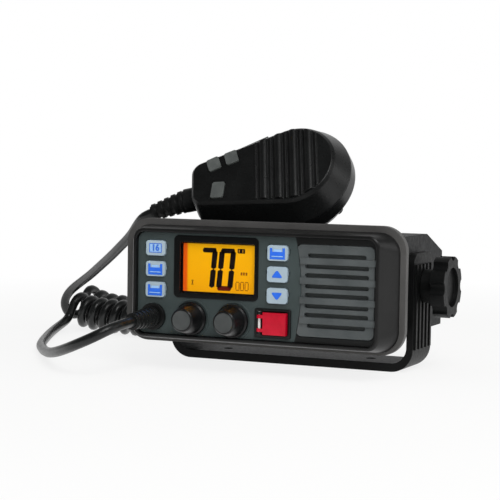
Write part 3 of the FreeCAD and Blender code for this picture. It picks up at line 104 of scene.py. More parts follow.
# the cord: one moulded lead, coiled where it is curly, from the panel's gland to the microphone's
cord = {
    "diameter": 5.5 * mm,
    "length": 1.66,
    "lead": [(-57.5, -88.49, 26.61), (-57.5, -97.99, 26.28), (-59.8, -107.4, 24.6), (-66, -113, 20.6),
             (-75.6, -112.6, 16.4), (-85, -107, 13), (-96.5, -97, 9.5), (-109.5, -82.5, 6.4), (-123, -65, 4.3),
             (-136, -47, 3.2), (-148, -29.5, 2.9), (-164, 3, 2.8), (-174.5, 26, 2.9), (-180.4, 43, 4),
             (-184, 56, 5.2), (-184.6, 63.8, 7.4)],
    "tail": [(-188.4, 90.8, 10), (-190.8, 87.6, 7.9), (-192.9, 82.6, 8), (-193.6, 77.8, 10.8), (-193.2, 74, 15.2),
             (-190.6, 71.2, 20.6), (-184.2, 67.4, 26), (-173.4, 59.4, 31.4), (-159.5, 47.5, 37.5), (-145, 34, 44.5),
             (-130.4, 20, 51.4), (-116.1, 6, 58.6), (-102.6, -6, 66.2), (-94, -15.6, 72.2), (-88, -21.4, 76.4),
             (-83.4, -23.8, 79.1), (-79.97, -23.21, 80.43)],
    "coilRadius": 8.33,  # a little over the real 8.05: the spline cuts inside its points
    "coilCentre": (-184.8, 75, 10.8), "coilTurn": 16,  # where the curly stretch starts, and its turn to the front
    "frontLeg": 80, "rearLeg": 92, "loopRadius": 12.05,
    "turns": 22.5, "firstTurnAt": 1, "pointsPerTurn": 12,
    "lean": 1.2, "skew": 3.4,  # each turn leans on the next one, and its outer side runs ahead
    "leadRise": 3, "tailRise": 5.4, "tipLong": 30,  # both left ends are lifted by the pull of the straight stretches
    "bendFrom": (-74, 0, 0), "bendTo": (-52.5, 0, 21.5),  # two points, as x, y and z in millimetres
    "shortestStep": 0.1,
}


def coilPoints():  # a helix along a folded line: out along the front leg, round the bend and back along the rear one
    heading = math.radians(cord["coilTurn"])
    along = Vector((math.cos(heading), -math.sin(heading), 0))
    across = Vector((math.sin(heading), math.cos(heading), 0))
    upward = Vector((0, 0, 1))
    loop, front, rear = cord["loopRadius"], cord["frontLeg"], cord["rearLeg"]
    start = Vector(cord["coilCentre"])
    middleOfLoop = start + along * front + across * loop
    halfRing = math.pi * loop
    whole = front + halfRing + rear
    first, turns = cord["firstTurnAt"], cord["turns"]
    count = round(turns * cord["pointsPerTurn"])
    points = []
    for k in range(count + 1):
        gone = first + (whole - first) * k / count
        if gone < front:
            middle, outward = start + along * gone, -across
        elif gone < front + halfRing:
            turn = (gone - front) / loop
            outward = along * math.sin(turn) - across * math.cos(turn)
            middle = middleOfLoop + outward * loop
        else:
            middle, outward = middleOfLoop + across * loop - along * (gone - front - halfRing), across
        rise = (cord["leadRise"] * max(0, 1 - gone / cord["tipLong"]) ** 2
                + cord["tailRise"] * max(0, 1 - (whole - gone) / cord["tipLong"]) ** 2)
        angle = 2 * math.pi * turns * k / count
        points.append(middle + (outward * math.cos(angle) + upward * math.sin(angle)) * cord["coilRadius"]
                      + upward * rise
                      + upward.cross(outward) * (cord["lean"] * math.sin(angle) + cord["skew"] * math.cos(angle)))
    return points


def makeCord():
    points = cord["lead"] + [tuple(point) for point in coilPoints()] + cord["tail"]
    line = bpy.data.curves.new("microphoneCordLine", "CURVE")
    line.dimensions = "3D"
    spline = line.splines.new("NURBS")
    spline.points.add(len(points) - 1)
    for point, place in zip(spline.points, points):
        point.co = [c * mm for c in place] + [1]
    spline.order_u = 3
    spline.use_endpoint_u = True
    line.resolution_u = 4
    piece = bpy.data.objects.new("microphone_cord", line)
    bpy.context.scene.collection.objects.link(piece)
    middleLine = bpy.data.meshes.new_from_object(piece)
    path = [middleLine.vertices[0].co.copy()]
    for vertex in middleLine.vertices:
        if (vertex.co - path[-1]).length > cord["shortestStep"] * mm:  # the line repeats a point at a joint
            path.append(vertex.co.copy())
    line.bevel_depth = cord["diameter"] / 2
    line.bevel_resolution = 4
    line.use_fill_caps = True
    deselect()
    piece.select_set(True)
    bpy.context.view_layer.objects.active = piece
    bpy.ops.object.convert(target="MESH")
    bpy.ops.object.shade_smooth()
    length = sum((b - a).length for a, b in zip(path, path[1:]))
    print("microphone cord made,", round(length, 3), "m in", len(path), "points")
    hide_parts("microphone_lead", "microphone_coil", "microphone_tail")
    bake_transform(piece)
    return piece


microphoneCord = makeCord()


def surface(name):  # an empty material with its shader and the object's own coordinates
    material = bpy.data.materials.new(name)
    material.use_nodes = True
    tree = material.node_tree
    tree.nodes.clear()
    shader = addNode(tree, "ShaderNodeBsdfPrincipled")
    addNode(tree, "ShaderNodeOutputMaterial", {"Surface": shader.outputs[0]})
    place = addNode(tree, "ShaderNodeTexCoord").outputs["Object"]
    return material, tree, shader, place


# how every moulded finish is drawn; the tool's texture is drawn deeper than real, so that it shows
texture = {"patchDetail": 3.0, "grainDetail": 4.0, "grainRough": 0.6, "toneFrom": 0.35, "toneTo": 0.65,
           "dullFrom": 0.3, "dullTo": 0.7, "deeper": 5, "strength": 0.6, "edgeSamples": 6, "coatRough": 0.15}


def moulded(name, dark, light, rough, grain, relief, patch, edge, specular, coat=0.0, stretch=(1, 1, 1), metallic=0.0):
    # in millimetres: grain and relief of the tool's texture, patch of the slow colour change, and the edges' rounding
    material, tree, shader, place = surface(name)
    if stretch != (1, 1, 1):
        place = addNode(tree, "ShaderNodeMapping", {"Vector": place, "Scale": stretch}).outputs[0]
    slow = addNode(tree, "ShaderNodeTexNoise", {"Vector": place, "Scale": 1000 / patch,
                                                "Detail": texture["patchDetail"]})
    fine = addNode(tree, "ShaderNodeTexNoise", {"Vector": place, "Scale": 1000 / grain,
                                                "Detail": texture["grainDetail"], "Roughness": texture["grainRough"]})
    tone = addNode(tree, "ShaderNodeMapRange", {"Value": slow.outputs[0], "From Min": texture["toneFrom"],
                                                "From Max": texture["toneTo"]})
    paint = addNode(tree, "ShaderNodeMix", {0: tone.outputs[0], 6: colour(dark), 7: colour(light)}, data_type="RGBA")
    dull = addNode(tree, "ShaderNodeMapRange", {"Value": fine.outputs[0], "From Min": texture["dullFrom"],
                                                "From Max": texture["dullTo"], "To Min": rough[0], "To Max": rough[1]})
    rounding = addNode(tree, "ShaderNodeBevel", {"Radius": edge * mm}, samples=texture["edgeSamples"])
    bump = addNode(tree, "ShaderNodeBump", {"Height": fine.outputs[0], "Normal": rounding.outputs[0],
                                            "Distance": relief * mm * texture["deeper"],
                                            "Strength": texture["strength"]})
    tree.links.new(paint.outputs[2], shader.inputs["Base Color"])
    tree.links.new(dull.outputs[0], shader.inputs["Roughness"])
    tree.links.new(bump.outputs[0], shader.inputs["Normal"])
    shader.inputs["Metallic"].default_value = metallic
    shader.inputs["Specular IOR Level"].default_value = specular
    shader.inputs["Coat Weight"].default_value = coat
    shader.inputs["Coat Roughness"].default_value = texture["coatRough"]
    return material


# the numbers below are: roughness, grain, relief, patch, edge, specular
# glass-filled nylon, moulded against a sparked tool: near-black with a soft sheen on its edges
nylonBracket = moulded("nylonBracket", "#0b0c0c", "#121313", (0.4, 0.55), 1.4, 0.03, 20, 0.5, 0.16)
# polycarbonate blend, moulded: satin, black on the frame and warm grey on the flange behind it
frameBlack = moulded("frameBlack", "#111111", "#181818", (0.28, 0.4), 1.2, 0.015, 22, 0.9, 0.4)
flangeGrey = moulded("flangeGrey", "#4b4a49", "#565554", (0.38, 0.5), 1.2, 0.02, 22, 0.7, 0.3)
# ABS, moulded: a dull grey that catches the light along its slats
grilleAbs = moulded("grilleAbs", "#4a4f50", "#585d5e", (0.36, 0.48), 0.9, 0.02, 16, 0.45, 0.35)
# die-cast aluminium, powder coated: a slight orange peel under a dull skin
castPowder = moulded("castPowder", "#1c1d1e", "#262728", (0.45, 0.6), 2.2, 0.06, 25, 0.6, 0.16)
# ABS, moulded: satin black on the microphone and the knobs, flat grey on the knobs' caps
microphoneAbs = moulded("microphoneAbs", "#0d0e0e", "#151616", (0.26, 0.36), 1.1, 0.02, 16, 0.7, 0.45)
knobBlack = moulded("knobBlack", "#0e0e0f", "#151516", (0.26, 0.38), 1.0, 0.02, 9, 0.4, 0.4)
capGrey = moulded("capGrey", "#474a4a", "#535656", (0.4, 0.5), 0.8, 0.015, 8, 0.3, 0.25)
# silicone rubber, moulded: dull and slightly mottled
padGrey = moulded("padGrey", "#4d504f", "#5a5e5c", (0.5, 0.65), 1.0, 0.02, 8, 0.4, 0.2)
membraneSilicone = moulded("membraneSilicone", "#7a8287", "#8d969b", (0.5, 0.6), 1.2, 0.02, 12, 0.2, 0.25)
# synthetic rubber, moulded: black with a low sheen at the glands, and chalky at the seals
glandRubber = moulded("glandRubber", "#101111", "#181919", (0.36, 0.5), 1.2, 0.03, 10, 0.5, 0.35)
sealRubber = moulded("sealRubber", "#161616", "#1f1f1f", (0.6, 0.75), 1.2, 0.03, 10, 0.2, 0.2)
# polyurethane jacket: satin black with a fine uneven skin
cordJacket = moulded("cordJacket", "#121313", "#1b1d1d", (0.26, 0.36), 1.6, 0.03, 7, 0.2, 0.45)
# high-gloss trim round the display
glossSurround = moulded("glossSurround", "#070808", "#0c0d0d", (0.08, 0.14), 1.5, 0.004, 20, 0.4, 0.4, coat=0.2)
# glossy red polycarbonate lid
redAbs = moulded("redAbs", "#bc0022", "#d0042c", (0.12, 0.2), 1.6, 0.006, 7, 0.35, 0.3, coat=0.2)
# white nylon pin, with a soft gloss
pinNylon = moulded("pinNylon", "#dcdcd8", "#efefec", (0.3, 0.4), 1.0, 0.01, 4, 0.2, 0.45)
# pressed paper pulp: fibrous and dull
conePaper = moulded("conePaper", "#121211", "#1d1c1b", (0.75, 0.9), 0.8, 0.08, 5, 0.1, 0.15)
# glass-epoxy board under a green lacquer
boardResin = moulded("boardResin", "#174a2a", "#226239", (0.3, 0.45), 0.7, 0.01, 6, 0.1, 0.45)
# white polycarbonate that spreads the light behind the display
backlightWhite = moulded("backlightWhite", "#e2d7ab", "#efe6c0", (0.5, 0.6), 1.0, 0.01, 12, 0.1, 0.3)
# pressed steel, painted black: dull and even
basketBlack = moulded("basketBlack", "#101111", "#191a1a", (0.5, 0.6), 0.8, 0.02, 6, 0.15, 0.2)
# metals: turned or rolled, so the grain is drawn out one way; the last three are coat, stretch and metallic
turnedSteel = moulded("turnedSteel", "#a3a5a8", "#bcbec0", (0.24, 0.38), 0.6, 0.01, 4, 0.15, 0.5, 0, (1, 6, 6), 1.0)
zincPlate = moulded("zincPlate", "#84878a", "#9a9da0", (0.32, 0.48), 0.8, 0.02, 6, 0.15, 0.5, 0, (1, 5, 1), 1.0)
nickelPlate = moulded("nickelPlate", "#b9b7b0", "#cfcdc6", (0.16, 0.28), 0.6, 0.006, 5, 0.2, 0.5, 0, (6, 1, 6), 1.0)
turnedBrass = moulded("turnedBrass", "#a98a45", "#c2a35a", (0.25, 0.4), 0.6, 0.01, 4, 0.15, 0.5, 0, (1, 6, 6), 1.0)
tinPlate = moulded("tinPlate", "#a2a4a5", "#b8babb", (0.28, 0.42), 0.9, 0.01, 6, 0.15, 0.5, 0, (4, 1, 1), 1.0)


# ABS with a fine spark finish: blue-grey at the keys; round the grille, past the grille's bow, a painted shade draws
# the plate black where it lies in shade; the grain is drawn coarser than the real 0.1 mm so that it shows
panel = {"bowX": -80.9, "bowZ": 45.3, "bowRadius": 107.5, "seam": 0.2, "grain": 0.9, "patch": 18, "relief": 0.1,
         "edge": 0.35, "rough": (0.38, 0.52), "keySide": ("#394343", "#495353"), "grilleShade": ("#141515", "#1d1e1e")}


def panelAbs():
    material, tree, shader, place = surface("panelAbs")
    fine = addNode(tree, "ShaderNodeTexNoise", {"Vector": place, "Scale": 1000 / panel["grain"],
                                                "Detail": texture["grainDetail"], "Roughness": texture["grainRough"]})
    slow = addNode(tree, "ShaderNodeTexNoise", {"Vector": place, "Scale": 1000 / panel["patch"],
                                                "Detail": texture["patchDetail"]})
    flat = addNode(tree, "ShaderNodeMapping", {"Vector": place, "Scale": (1, 0, 1)}).outputs[0]
    centre = (panel["bowX"] * mm, 0, panel["bowZ"] * mm)
    reach = addNode(tree, "ShaderNodeVectorMath", {0: flat, 1: centre}, operation="DISTANCE")
    beyond = addNode(tree, "ShaderNodeMapRange", {"Value": reach.outputs["Value"],
                                                  "From Min": (panel["bowRadius"] - panel["seam"]) * mm,
                                                  "From Max": (panel["bowRadius"] + panel["seam"]) * mm})
    sides = [addNode(tree, "ShaderNodeMix", {0: slow.outputs[0], 6: colour(dark), 7: colour(light)},
                     data_type="RGBA").outputs[2] for dark, light in (panel["keySide"], panel["grilleShade"])]
    # past the grille's bow the plate takes the painted shade instead of its blue-grey
    paint = addNode(tree, "ShaderNodeMix", {0: beyond.outputs[0], 6: sides[0], 7: sides[1]}, data_type="RGBA")
    dull = addNode(tree, "ShaderNodeMapRange", {"Value": fine.outputs[0], "To Min": panel["rough"][0],
                                                "To Max": panel["rough"][1]})
    rounding = addNode(tree, "ShaderNodeBevel", {"Radius": panel["edge"] * mm}, samples=texture["edgeSamples"])
    bump = addNode(tree, "ShaderNodeBump", {"Height": fine.outputs[0], "Normal": rounding.outputs[0],
                                            "Distance": panel["relief"] * mm, "Strength": texture["strength"]})
    tree.links.new(paint.outputs[2], shader.inputs["Base Color"])
    tree.links.new(dull.outputs[0], shader.inputs["Roughness"])
    tree.links.new(bump.outputs[0], shader.inputs["Normal"])
    shader.inputs["Specular IOR Level"].default_value = 0.25
    return material


# woven nylon thread: a fine grey weave with dark holes, drawn at 0.5 mm because the real 0.3 mm would not show
weave = {"pitch": 0.5, "relief": 0.06, "hole": "#1f2222", "thread": "#474b4b"}


def wovenMesh():
    material, tree, shader, place = surface("wovenMesh")
    waveScale = math.pi / 10 / (weave["pitch"] * mm)  # a wave texture repeats every pi / 10 over its scale
    threads = [addNode(tree, "ShaderNodeTexWave", {"Vector": place, "Scale": waveScale}, bands_direction=way)
               for way in ("X", "Z")]
    crossed = addNode(tree, "ShaderNodeMath", {0: threads[0].outputs["Fac"], 1: threads[1].outputs["Fac"]},
                      operation="MAXIMUM")
    paint = addNode(tree, "ShaderNodeMix", {0: crossed.outputs[0], 6: colour(weave["hole"]),
                                            7: colour(weave["thread"])}, data_type="RGBA")
    bump = addNode(tree, "ShaderNodeBump", {"Height": crossed.outputs[0], "Distance": weave["relief"] * mm,
                                            "Strength": texture["strength"]})
    tree.links.new(paint.outputs[2], shader.inputs["Base Color"])
    tree.links.new(bump.outputs[0], shader.inputs["Normal"])
    shader.inputs["Roughness"].default_value = 0.6
    shader.inputs["Specular IOR Level"].default_value = 0.3
    return material


meshNylon = wovenMesh()

# translucent silicone, lit from behind: it glows a little, with a soft edge and a slight mottle
lit = {"grain": 1.0, "patch": 6, "edge": 0.5, "relief": 0.06, "glow": 0.1}


def litKey(name, pale, deep):
    material, tree, shader, place = surface(name)
    fine = addNode(tree, "ShaderNodeTexNoise", {"Vector": place, "Scale": 1000 / lit["grain"], "Detail": 3.0})
    slow = addNode(tree, "ShaderNodeTexNoise", {"Vector": place, "Scale": 1000 / lit["patch"], "Detail": 2.0})
    paint = addNode(tree, "ShaderNodeMix", {0: slow.outputs[0], 6: colour(deep), 7: colour(pale)}, data_type="RGBA")
    rounding = addNode(tree, "ShaderNodeBevel", {"Radius": lit["edge"] * mm}, samples=texture["edgeSamples"])
    bump = addNode(tree, "ShaderNodeBump", {"Height": fine.outputs[0], "Normal": rounding.outputs[0],
                                            "Distance": lit["relief"] * mm, "Strength": 0.5})
    tree.links.new(paint.outputs[2], shader.inputs["Base Color"])
    tree.links.new(paint.outputs[2], shader.inputs["Emission Color"])
    tree.links.new(bump.outputs[0], shader.inputs["Normal"])
    shader.inputs["Emission Strength"].default_value = lit["glow"]
    shader.inputs["Roughness"].default_value = 0.42
    shader.inputs["Specular IOR Level"].default_value = 0.3
    return material


keySilicone = litKey("keySilicone", "#afc1cd", "#9badb9")
keyPrint = litKey("keyPrint", "#357cf4", "#2160e0")
keyPrintPale = litKey("keyPrintPale", "#a3cbf6", "#93bff2")

# a liquid crystal panel over its amber light: even, with a redder strip down its left end
crystal = {"stripFrom": 3.2, "stripTo": 4.4, "strip": "#e6580a", "foot": "#f0a400", "head": "#f4b000", "glow": 0.12}


def amberCrystal():
    low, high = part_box("lcd_panel")
    material, tree, shader, place = surface("amberCrystal")
    parts = addNode(tree, "ShaderNodeSeparateXYZ", {"Vector": place})
    strip = addNode(tree, "ShaderNodeMapRange", {"Value": parts.outputs[0],
                                                 "From Min": low.x + crystal["stripFrom"] * mm,
                                                 "From Max": low.x + crystal["stripTo"] * mm})
    height = addNode(tree, "ShaderNodeMapRange", {"Value": parts.outputs[2], "From Min": low.z, "From Max": high.z})
    field = addNode(tree, "ShaderNodeMix", {0: height.outputs[0], 6: colour(crystal["foot"]),
                                            7: colour(crystal["head"])}, data_type="RGBA")
    paint = addNode(tree, "ShaderNodeMix", {0: strip.outputs[0], 6: colour(crystal["strip"]), 7: field.outputs[2]},
                    data_type="RGBA")
    tree.links.new(paint.outputs[2], shader.inputs["Base Color"])
    tree.links.new(paint.outputs[2], shader.inputs["Emission Color"])
    shader.inputs["Emission Strength"].default_value = crystal["glow"]
    shader.inputs["Roughness"].default_value = 0.5
    shader.inputs["Specular IOR Level"].default_value = 0.1
    return material


def flatInk(name, dark, light, glow=0.0):  # a liquid crystal's dark segment: no relief, a trace of unevenness
    material, tree, shader, place = surface(name)
    slow = addNode(tree, "ShaderNodeTexNoise", {"Vector": place, "Scale": 1000 / 5, "Detail": 2.0})
    paint = addNode(tree, "ShaderNodeMix", {0: slow.outputs[0], 6: colour(dark), 7: colour(light)}, data_type="RGBA")
    tree.links.new(paint.outputs[2], shader.inputs["Base Color"])
    tree.links.new(paint.outputs[2], shader.inputs["Emission Color"])
    shader.inputs["Emission Strength"].default_value = glow
    shader.inputs["Roughness"].default_value = 0.6
    shader.inputs["Specular IOR Level"].default_value = 0.15
    return material


def clearWindow():  # hard-coated acrylic: clear, with a faint polish haze and little gloss
    material, tree, shader, place = surface("clearWindow")
    haze = addNode(tree, "ShaderNodeTexNoise", {"Vector": place, "Scale": 1000 / 18, "Detail": 2.0})
    dull = addNode(tree, "ShaderNodeMapRange", {"Value": haze.outputs[0], "To Min": 0.0, "To Max": 0.05})
    tree.links.new(dull.outputs[0], shader.inputs["Roughness"])
    shader.inputs["Base Color"].default_value = colour("#ffffff")
    shader.inputs["Transmission Weight"].default_value = 1.0
    shader.inputs["IOR"].default_value = 1.1
    shader.inputs["Alpha"].default_value = 0.25
    return material


finishes = {
    nylonBracket: ["mounting_bracket", "clamp_knob_left", "clamp_knob_right"],
    sealRubber: ["friction_washers", "panel_gasket"],
    knobBlack: ["volume_knob", "squelch_knob"],
    turnedSteel: ["clamp_screw_left", "clamp_screw_right", "bottom_cover_screws", "panel_screws", "volume_shaft",
                  "squelch_shaft", "mic_screws", "mic_hang_stud"],
    castPowder: ["chassis"],
    turnedBrass: ["pivot_inserts"],
    zincPlate: ["bottom_cover"],
    basketBlack: ["speaker_basket"],
    nickelPlate: ["antenna_socket"],
    glandRubber: ["rear_cable_glands", "cord_gland", "mic_strain_relief"],
    flangeGrey: ["front_housing"],
    frameBlack: ["front_frame", "distress_frame"],
    panelAbs(): ["faceplate"],
    grilleAbs: ["speaker_grille"],
    conePaper: ["speaker_cone"],
    glossSurround: ["display_surround"],
    clearWindow(): ["display_window"],
    amberCrystal(): ["lcd_panel"],
    backlightWhite: ["backlight_panel"],
    keySilicone: ["key_number", "key_left_middle", "key_left_lower", "key_right_upper", "key_up", "key_down"],
    membraneSilicone: ["keypad_membrane"],
    capGrey: ["volume_cap", "squelch_cap"],
    tinPlate: ["potentiometers", "transmitter_module", "mic_capsule"],
    pinNylon: ["distress_hinge_pin"],
    redAbs: ["distress_cover", "distress_key"],
    boardResin: ["front_circuit_board", "main_circuit_board", "mic_circuit_board"],
    microphoneAbs: ["mic_front_cover", "mic_rear_shell"],
    padGrey: ["mic_talk_key", "mic_upper_key_left", "mic_upper_key_right", "mic_lower_key"],
}
for material, names in finishes.items():
    for name in names:
        cad[name].data.materials.clear()
        cad[name].data.materials.append(material)
microphoneCord.data.materials.clear()
microphoneCord.data.materials.append(cordJacket)
print("finishes set on", sum(len(names) for names in finishes.values()), "nodes")


def applyPlace(piece):  # the place goes into the mesh, and the object back to the origin
    deselect()
    piece.select_set(True)
    bpy.context.view_layer.objects.active = piece
    bpy.ops.object.transform_apply(location=True, rotation=True, scale=True)


def thicken(thick):  # gives a flat shape its thickness, and leaves edit mode
    bpy.ops.mesh.select_all(action="SELECT")
    bpy.ops.mesh.extrude_region_move(TRANSFORM_OT_translate={"value": (0, 0, thick * mm)})
    bpy.ops.mesh.select_all(action="SELECT")
    bpy.ops.mesh.normals_make_consistent(inside=False)
    bpy.ops.object.mode_set(mode="OBJECT")


def standUp(piece, material, x, front, z, turned=0):  # stands a flat piece up, facing the front, with its finish
    piece.rotation_euler = (math.radians(90), math.radians(turned), 0)
    piece.location = (x * mm, front, z * mm)
    applyPlace(piece)
    piece.data.materials.append(material)


def joined(name, pieces, body):
    deselect()
    for piece in pieces:
        piece.select_set(True)
    bpy.context.view_layer.objects.active = pieces[0]
    bpy.ops.object.join()
    whole = bpy.context.object
    whole.name = name
    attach(whole, body)


# what the display shows: two slanted figures of pointed bars, a small dark box and a few plain marks
figures = {"barWide": 3.0, "barTall": 2.5, "wide": 9.4, "tall": 22.2, "left": -32.8, "low": 42.7, "pitch": 10.5,
           "slant": 0.095, "thick": 0.09, "flatShorter": 1.2, "uprightLonger": 0.1}
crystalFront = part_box("lcd_panel")[0].y
inkBlack = flatInk("inkBlack", "#0d0200", "#140501")
inkRed = flatInk("inkRed", "#5a0a00", "#681002")
inkPale = flatInk("inkPale", "#c98700", "#d59200", 0.1)
inkMiddle = flatInk("inkMiddle", "#8a4200", "#9b5000")


def bar(name, x, z, long, wide, upright, material):
    # a hexagon with a corner at each end, drawn out to a bar, then given its thickness and stood on the panel
    deselect()
    radius = wide / 2 / math.cos(math.radians(30))
    bpy.ops.mesh.primitive_circle_add(vertices=6, radius=radius * mm, fill_type="NGON")
    piece = bpy.context.object
    piece.name = name
    stretch = (long / 2 - radius) * mm
    for side in (-1, 1):
        bpy.ops.object.mode_set(mode="EDIT")
        bpy.ops.mesh.select_mode(type="VERT")
        bpy.ops.mesh.select_all(action="DESELECT")
        bpy.ops.object.mode_set(mode="OBJECT")
        for vertex in piece.data.vertices:
            vertex.select = vertex.co.y * side > 0
        bpy.ops.object.mode_set(mode="EDIT")
        bpy.ops.transform.translate(value=(0, stretch * side, 0))
    thicken(figures["thick"])
    standUp(piece, material, x, crystalFront, z, turned=180 if upright else 90)
    return piece


def lean(piece, foot):  # slants an upright figure to the right, as such displays do
    for vertex in piece.data.vertices:
        vertex.co.x += (vertex.co.z - foot) * figures["slant"]


# a figure's dark bars: t at the top, b at the bottom, L and R at the upper sides, l and r at the lower ones
shapesOfFigures = {"seven": "t R r", "nought": "t L R l r b"}


def figure(word, left):
    wide, tall, thick, flat, low = (figures[k] for k in ("wide", "tall", "barWide", "barTall", "low"))
    half = tall / 2 - flat / 2
    across, along = wide - figures["flatShorter"], half + figures["uprightLonger"]
    middle, leftSide, rightSide = left + wide / 2, left + thick / 2, left + wide - thick / 2
    upper, lower = low + flat / 2 + half * 1.5, low + flat / 2 + half * 0.5
    places = {
        "t": (middle, low + tall - flat / 2, across, flat, False),
        "b": (middle, low + flat / 2, across, flat, False),
        "L": (leftSide, upper, along, thick, True),
        "l": (leftSide, lower, along, thick, True),
        "R": (rightSide, upper, along, thick, True),
        "r": (rightSide, lower, along, thick, True),
    }
    made = []
    for key in shapesOfFigures[word].split():
        piece = bar(f"display_{word}_{key}", *places[key], inkRed if key == "b" else inkBlack)
        lean(piece, low * mm)
        made.append(piece)
    return made


displayBars = figure("seven", figures["left"]) + figure("nought", figures["left"] + figures["pitch"])
joined("display_figures", displayBars, "radio")


def smallBlock(name, x, z, wide, tall, material, front, thick=figures["thick"], rounding=0.0):
    deselect()
    bpy.ops.mesh.primitive_plane_add(size=1)
    piece = bpy.context.object
    piece.name = name
    bpy.ops.transform.resize(value=(wide * mm, tall * mm, 1))
    bpy.ops.object.transform_apply(location=False, rotation=False, scale=True)
    bpy.ops.object.mode_set(mode="EDIT")
    bpy.ops.mesh.select_all(action="SELECT")
    if rounding:
        bpy.ops.mesh.bevel(offset=rounding * mm, segments=4, affect="VERTICES")
    thicken(thick)
    standUp(piece, material, x, front, z)
    return piece


marks = {  # each as x, z, width and height
    "box": (-8.0, 63.8, 4.2, 2.4), "boxRounding": 0.3,
    "boxStrokes": [(-9.1, 63.8, 0.5, 1.4), (-7.1, 63.8, 0.5, 1.4)], "strokeThick": 0.05, "strokeLift": 0.1,
    "dimMark": (-7.7, 52.0, 0.9, 1.5), "dimPitch": 1.4,
    "ticks": [(-35.9, 45.4, 1.1, 0.4), (-35.9, 47.4, 1.1, 0.4), (-35.9, 46.4, 0.5, 1.2)],
    "cellLines": [(-9.9, 43.4, 1.7, 0.4), (-9.9, 47.6, 1.7, 0.4), (-10.8, 45.5, 0.4, 3.4), (-9.0, 45.5, 0.4, 3.4)],
    "cellPitch": 2.6,
}


def displayMarks():
    made = [smallBlock("display_box", *marks["box"], inkBlack, crystalFront, rounding=marks["boxRounding"])]
    for place in marks["boxStrokes"]:  # two pale strokes in the dark box
        made.append(smallBlock("display_box_stroke", *place, inkPale, crystalFront - marks["strokeLift"] * mm,
                               marks["strokeThick"]))
    x, z, wide, tall = marks["dimMark"]
    for k in range(3):  # three small marks half way up on the right
        made.append(smallBlock("display_dim_mark", x + marks["dimPitch"] * k, z, wide, tall, inkMiddle, crystalFront))
    for place in marks["ticks"]:  # a stroke between two ticks, low on the left
        made.append(smallBlock("display_tick", *place, inkRed, crystalFront))
    joined("display_marks", made, "radio")


def displayCells():  # a row of three dim outlined cells at the lower right
    made = []
    for k in range(3):
        for x, z, wide, tall in marks["cellLines"]:
            made.append(smallBlock("display_cell", x + marks["cellPitch"] * k, z, wide, tall, inkMiddle, crystalFront))
    joined("display_cells", made, "radio")


displayMarks()
displayCells()
print("display drawn")

# the grille's slots are closed by a fine nylon mesh, moulded in as strips above and below each slat
meshStrip = {"middle": 45.3, "slats": 4, "slatPitch": 10.1, "fromSlat": 2.75, "left": 30, "right": 61.5, "longer": 1.5,
             "overlap": 0.1, "tall": 2.3, "rounding": 1.05, "front": -61.2, "thick": 0.5}


def speakerMesh():
    count, left, right = meshStrip["slats"], meshStrip["left"], meshStrip["right"]
    strips = []
    for step in range(count):
        for side in (-1, 1):
            z = meshStrip["middle"] + meshStrip["slatPitch"] * ((count - 1) / 2 - step) + meshStrip["fromSlat"] * side
            outermost = (step, side) in ((0, 1), (count - 1, -1))
            wide = right - left + (0 if outermost else 2 * meshStrip["longer"]) + meshStrip["overlap"]
            strips.append(smallBlock("mesh_strip", (left + right) / 2, z, wide, meshStrip["tall"], meshNylon,
                                     meshStrip["front"] * mm, meshStrip["thick"], meshStrip["rounding"]))
    joined("speaker_mesh", strips, "radio")


speakerMesh()
print("speaker mesh made")

# prints on the keys: a number in a frame, three notched blocks, and two arrows; each as its widths and heights
prints = {
    "thick": 0.07,
    "numberSize": 4.6, "numberBolder": 0.07, "field": (6.7, 4.3), "frame": (7.0, 4.6), "frameLine": 0.35,
    "block": (8.4, 5.8), "blockDrop": 0.3, "notchWithin": 2.9, "notchAbove": 1.2,
    "inset": (4.6, 1.3), "insetUp": 1.3, "foot": (6.4, 0.5), "footDown": 1.7,
    "arrowRadius": 3.6, "arrowShape": (1.06, 0.78, 1), "arrowRounding": 1.3, "arrowShift": 0.5,
}
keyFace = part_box("key_number")[0].y


def keyMiddle(node):
    low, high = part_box(node)
    return (low.x + high.x) / 2 / mm, (low.z + high.z) / 2 / mm


def notchedBlock(node, body):  # a block with a notch in its top edge: a grid of faces with the middle ones taken out
    x, z = keyMiddle(node)
    thick = prints["thick"]
    deselect()
    bpy.ops.mesh.primitive_grid_add(x_subdivisions=6, y_subdivisions=3, size=1)
    piece = bpy.context.object
    bpy.ops.transform.resize(value=(prints["block"][0] * mm, prints["block"][1] * mm, 1))
    bpy.ops.object.transform_apply(location=False, rotation=False, scale=True)
    bpy.ops.object.mode_set(mode="EDIT")
    bpy.ops.mesh.select_mode(type="FACE")
    bpy.ops.mesh.select_all(action="DESELECT")
    bpy.ops.object.mode_set(mode="OBJECT")
    for face in piece.data.polygons:
        face.select = abs(face.center.x) < prints["notchWithin"] * mm and face.center.y > prints["notchAbove"] * mm
    bpy.ops.object.mode_set(mode="EDIT")
    bpy.ops.mesh.delete(type="FACE")
    thicken(thick)
    standUp(piece, keyPrint, x, keyFace, z - prints["blockDrop"])
    inset = smallBlock("notch", x, z + prints["insetUp"], *prints["inset"], keyPrintPale, keyFace, thick)
    foot = smallBlock("foot", x, z - prints["footDown"], *prints["foot"], keyPrintPale, keyFace, 2 * thick)
    joined(node + "_print", [piece, inset, foot], body)


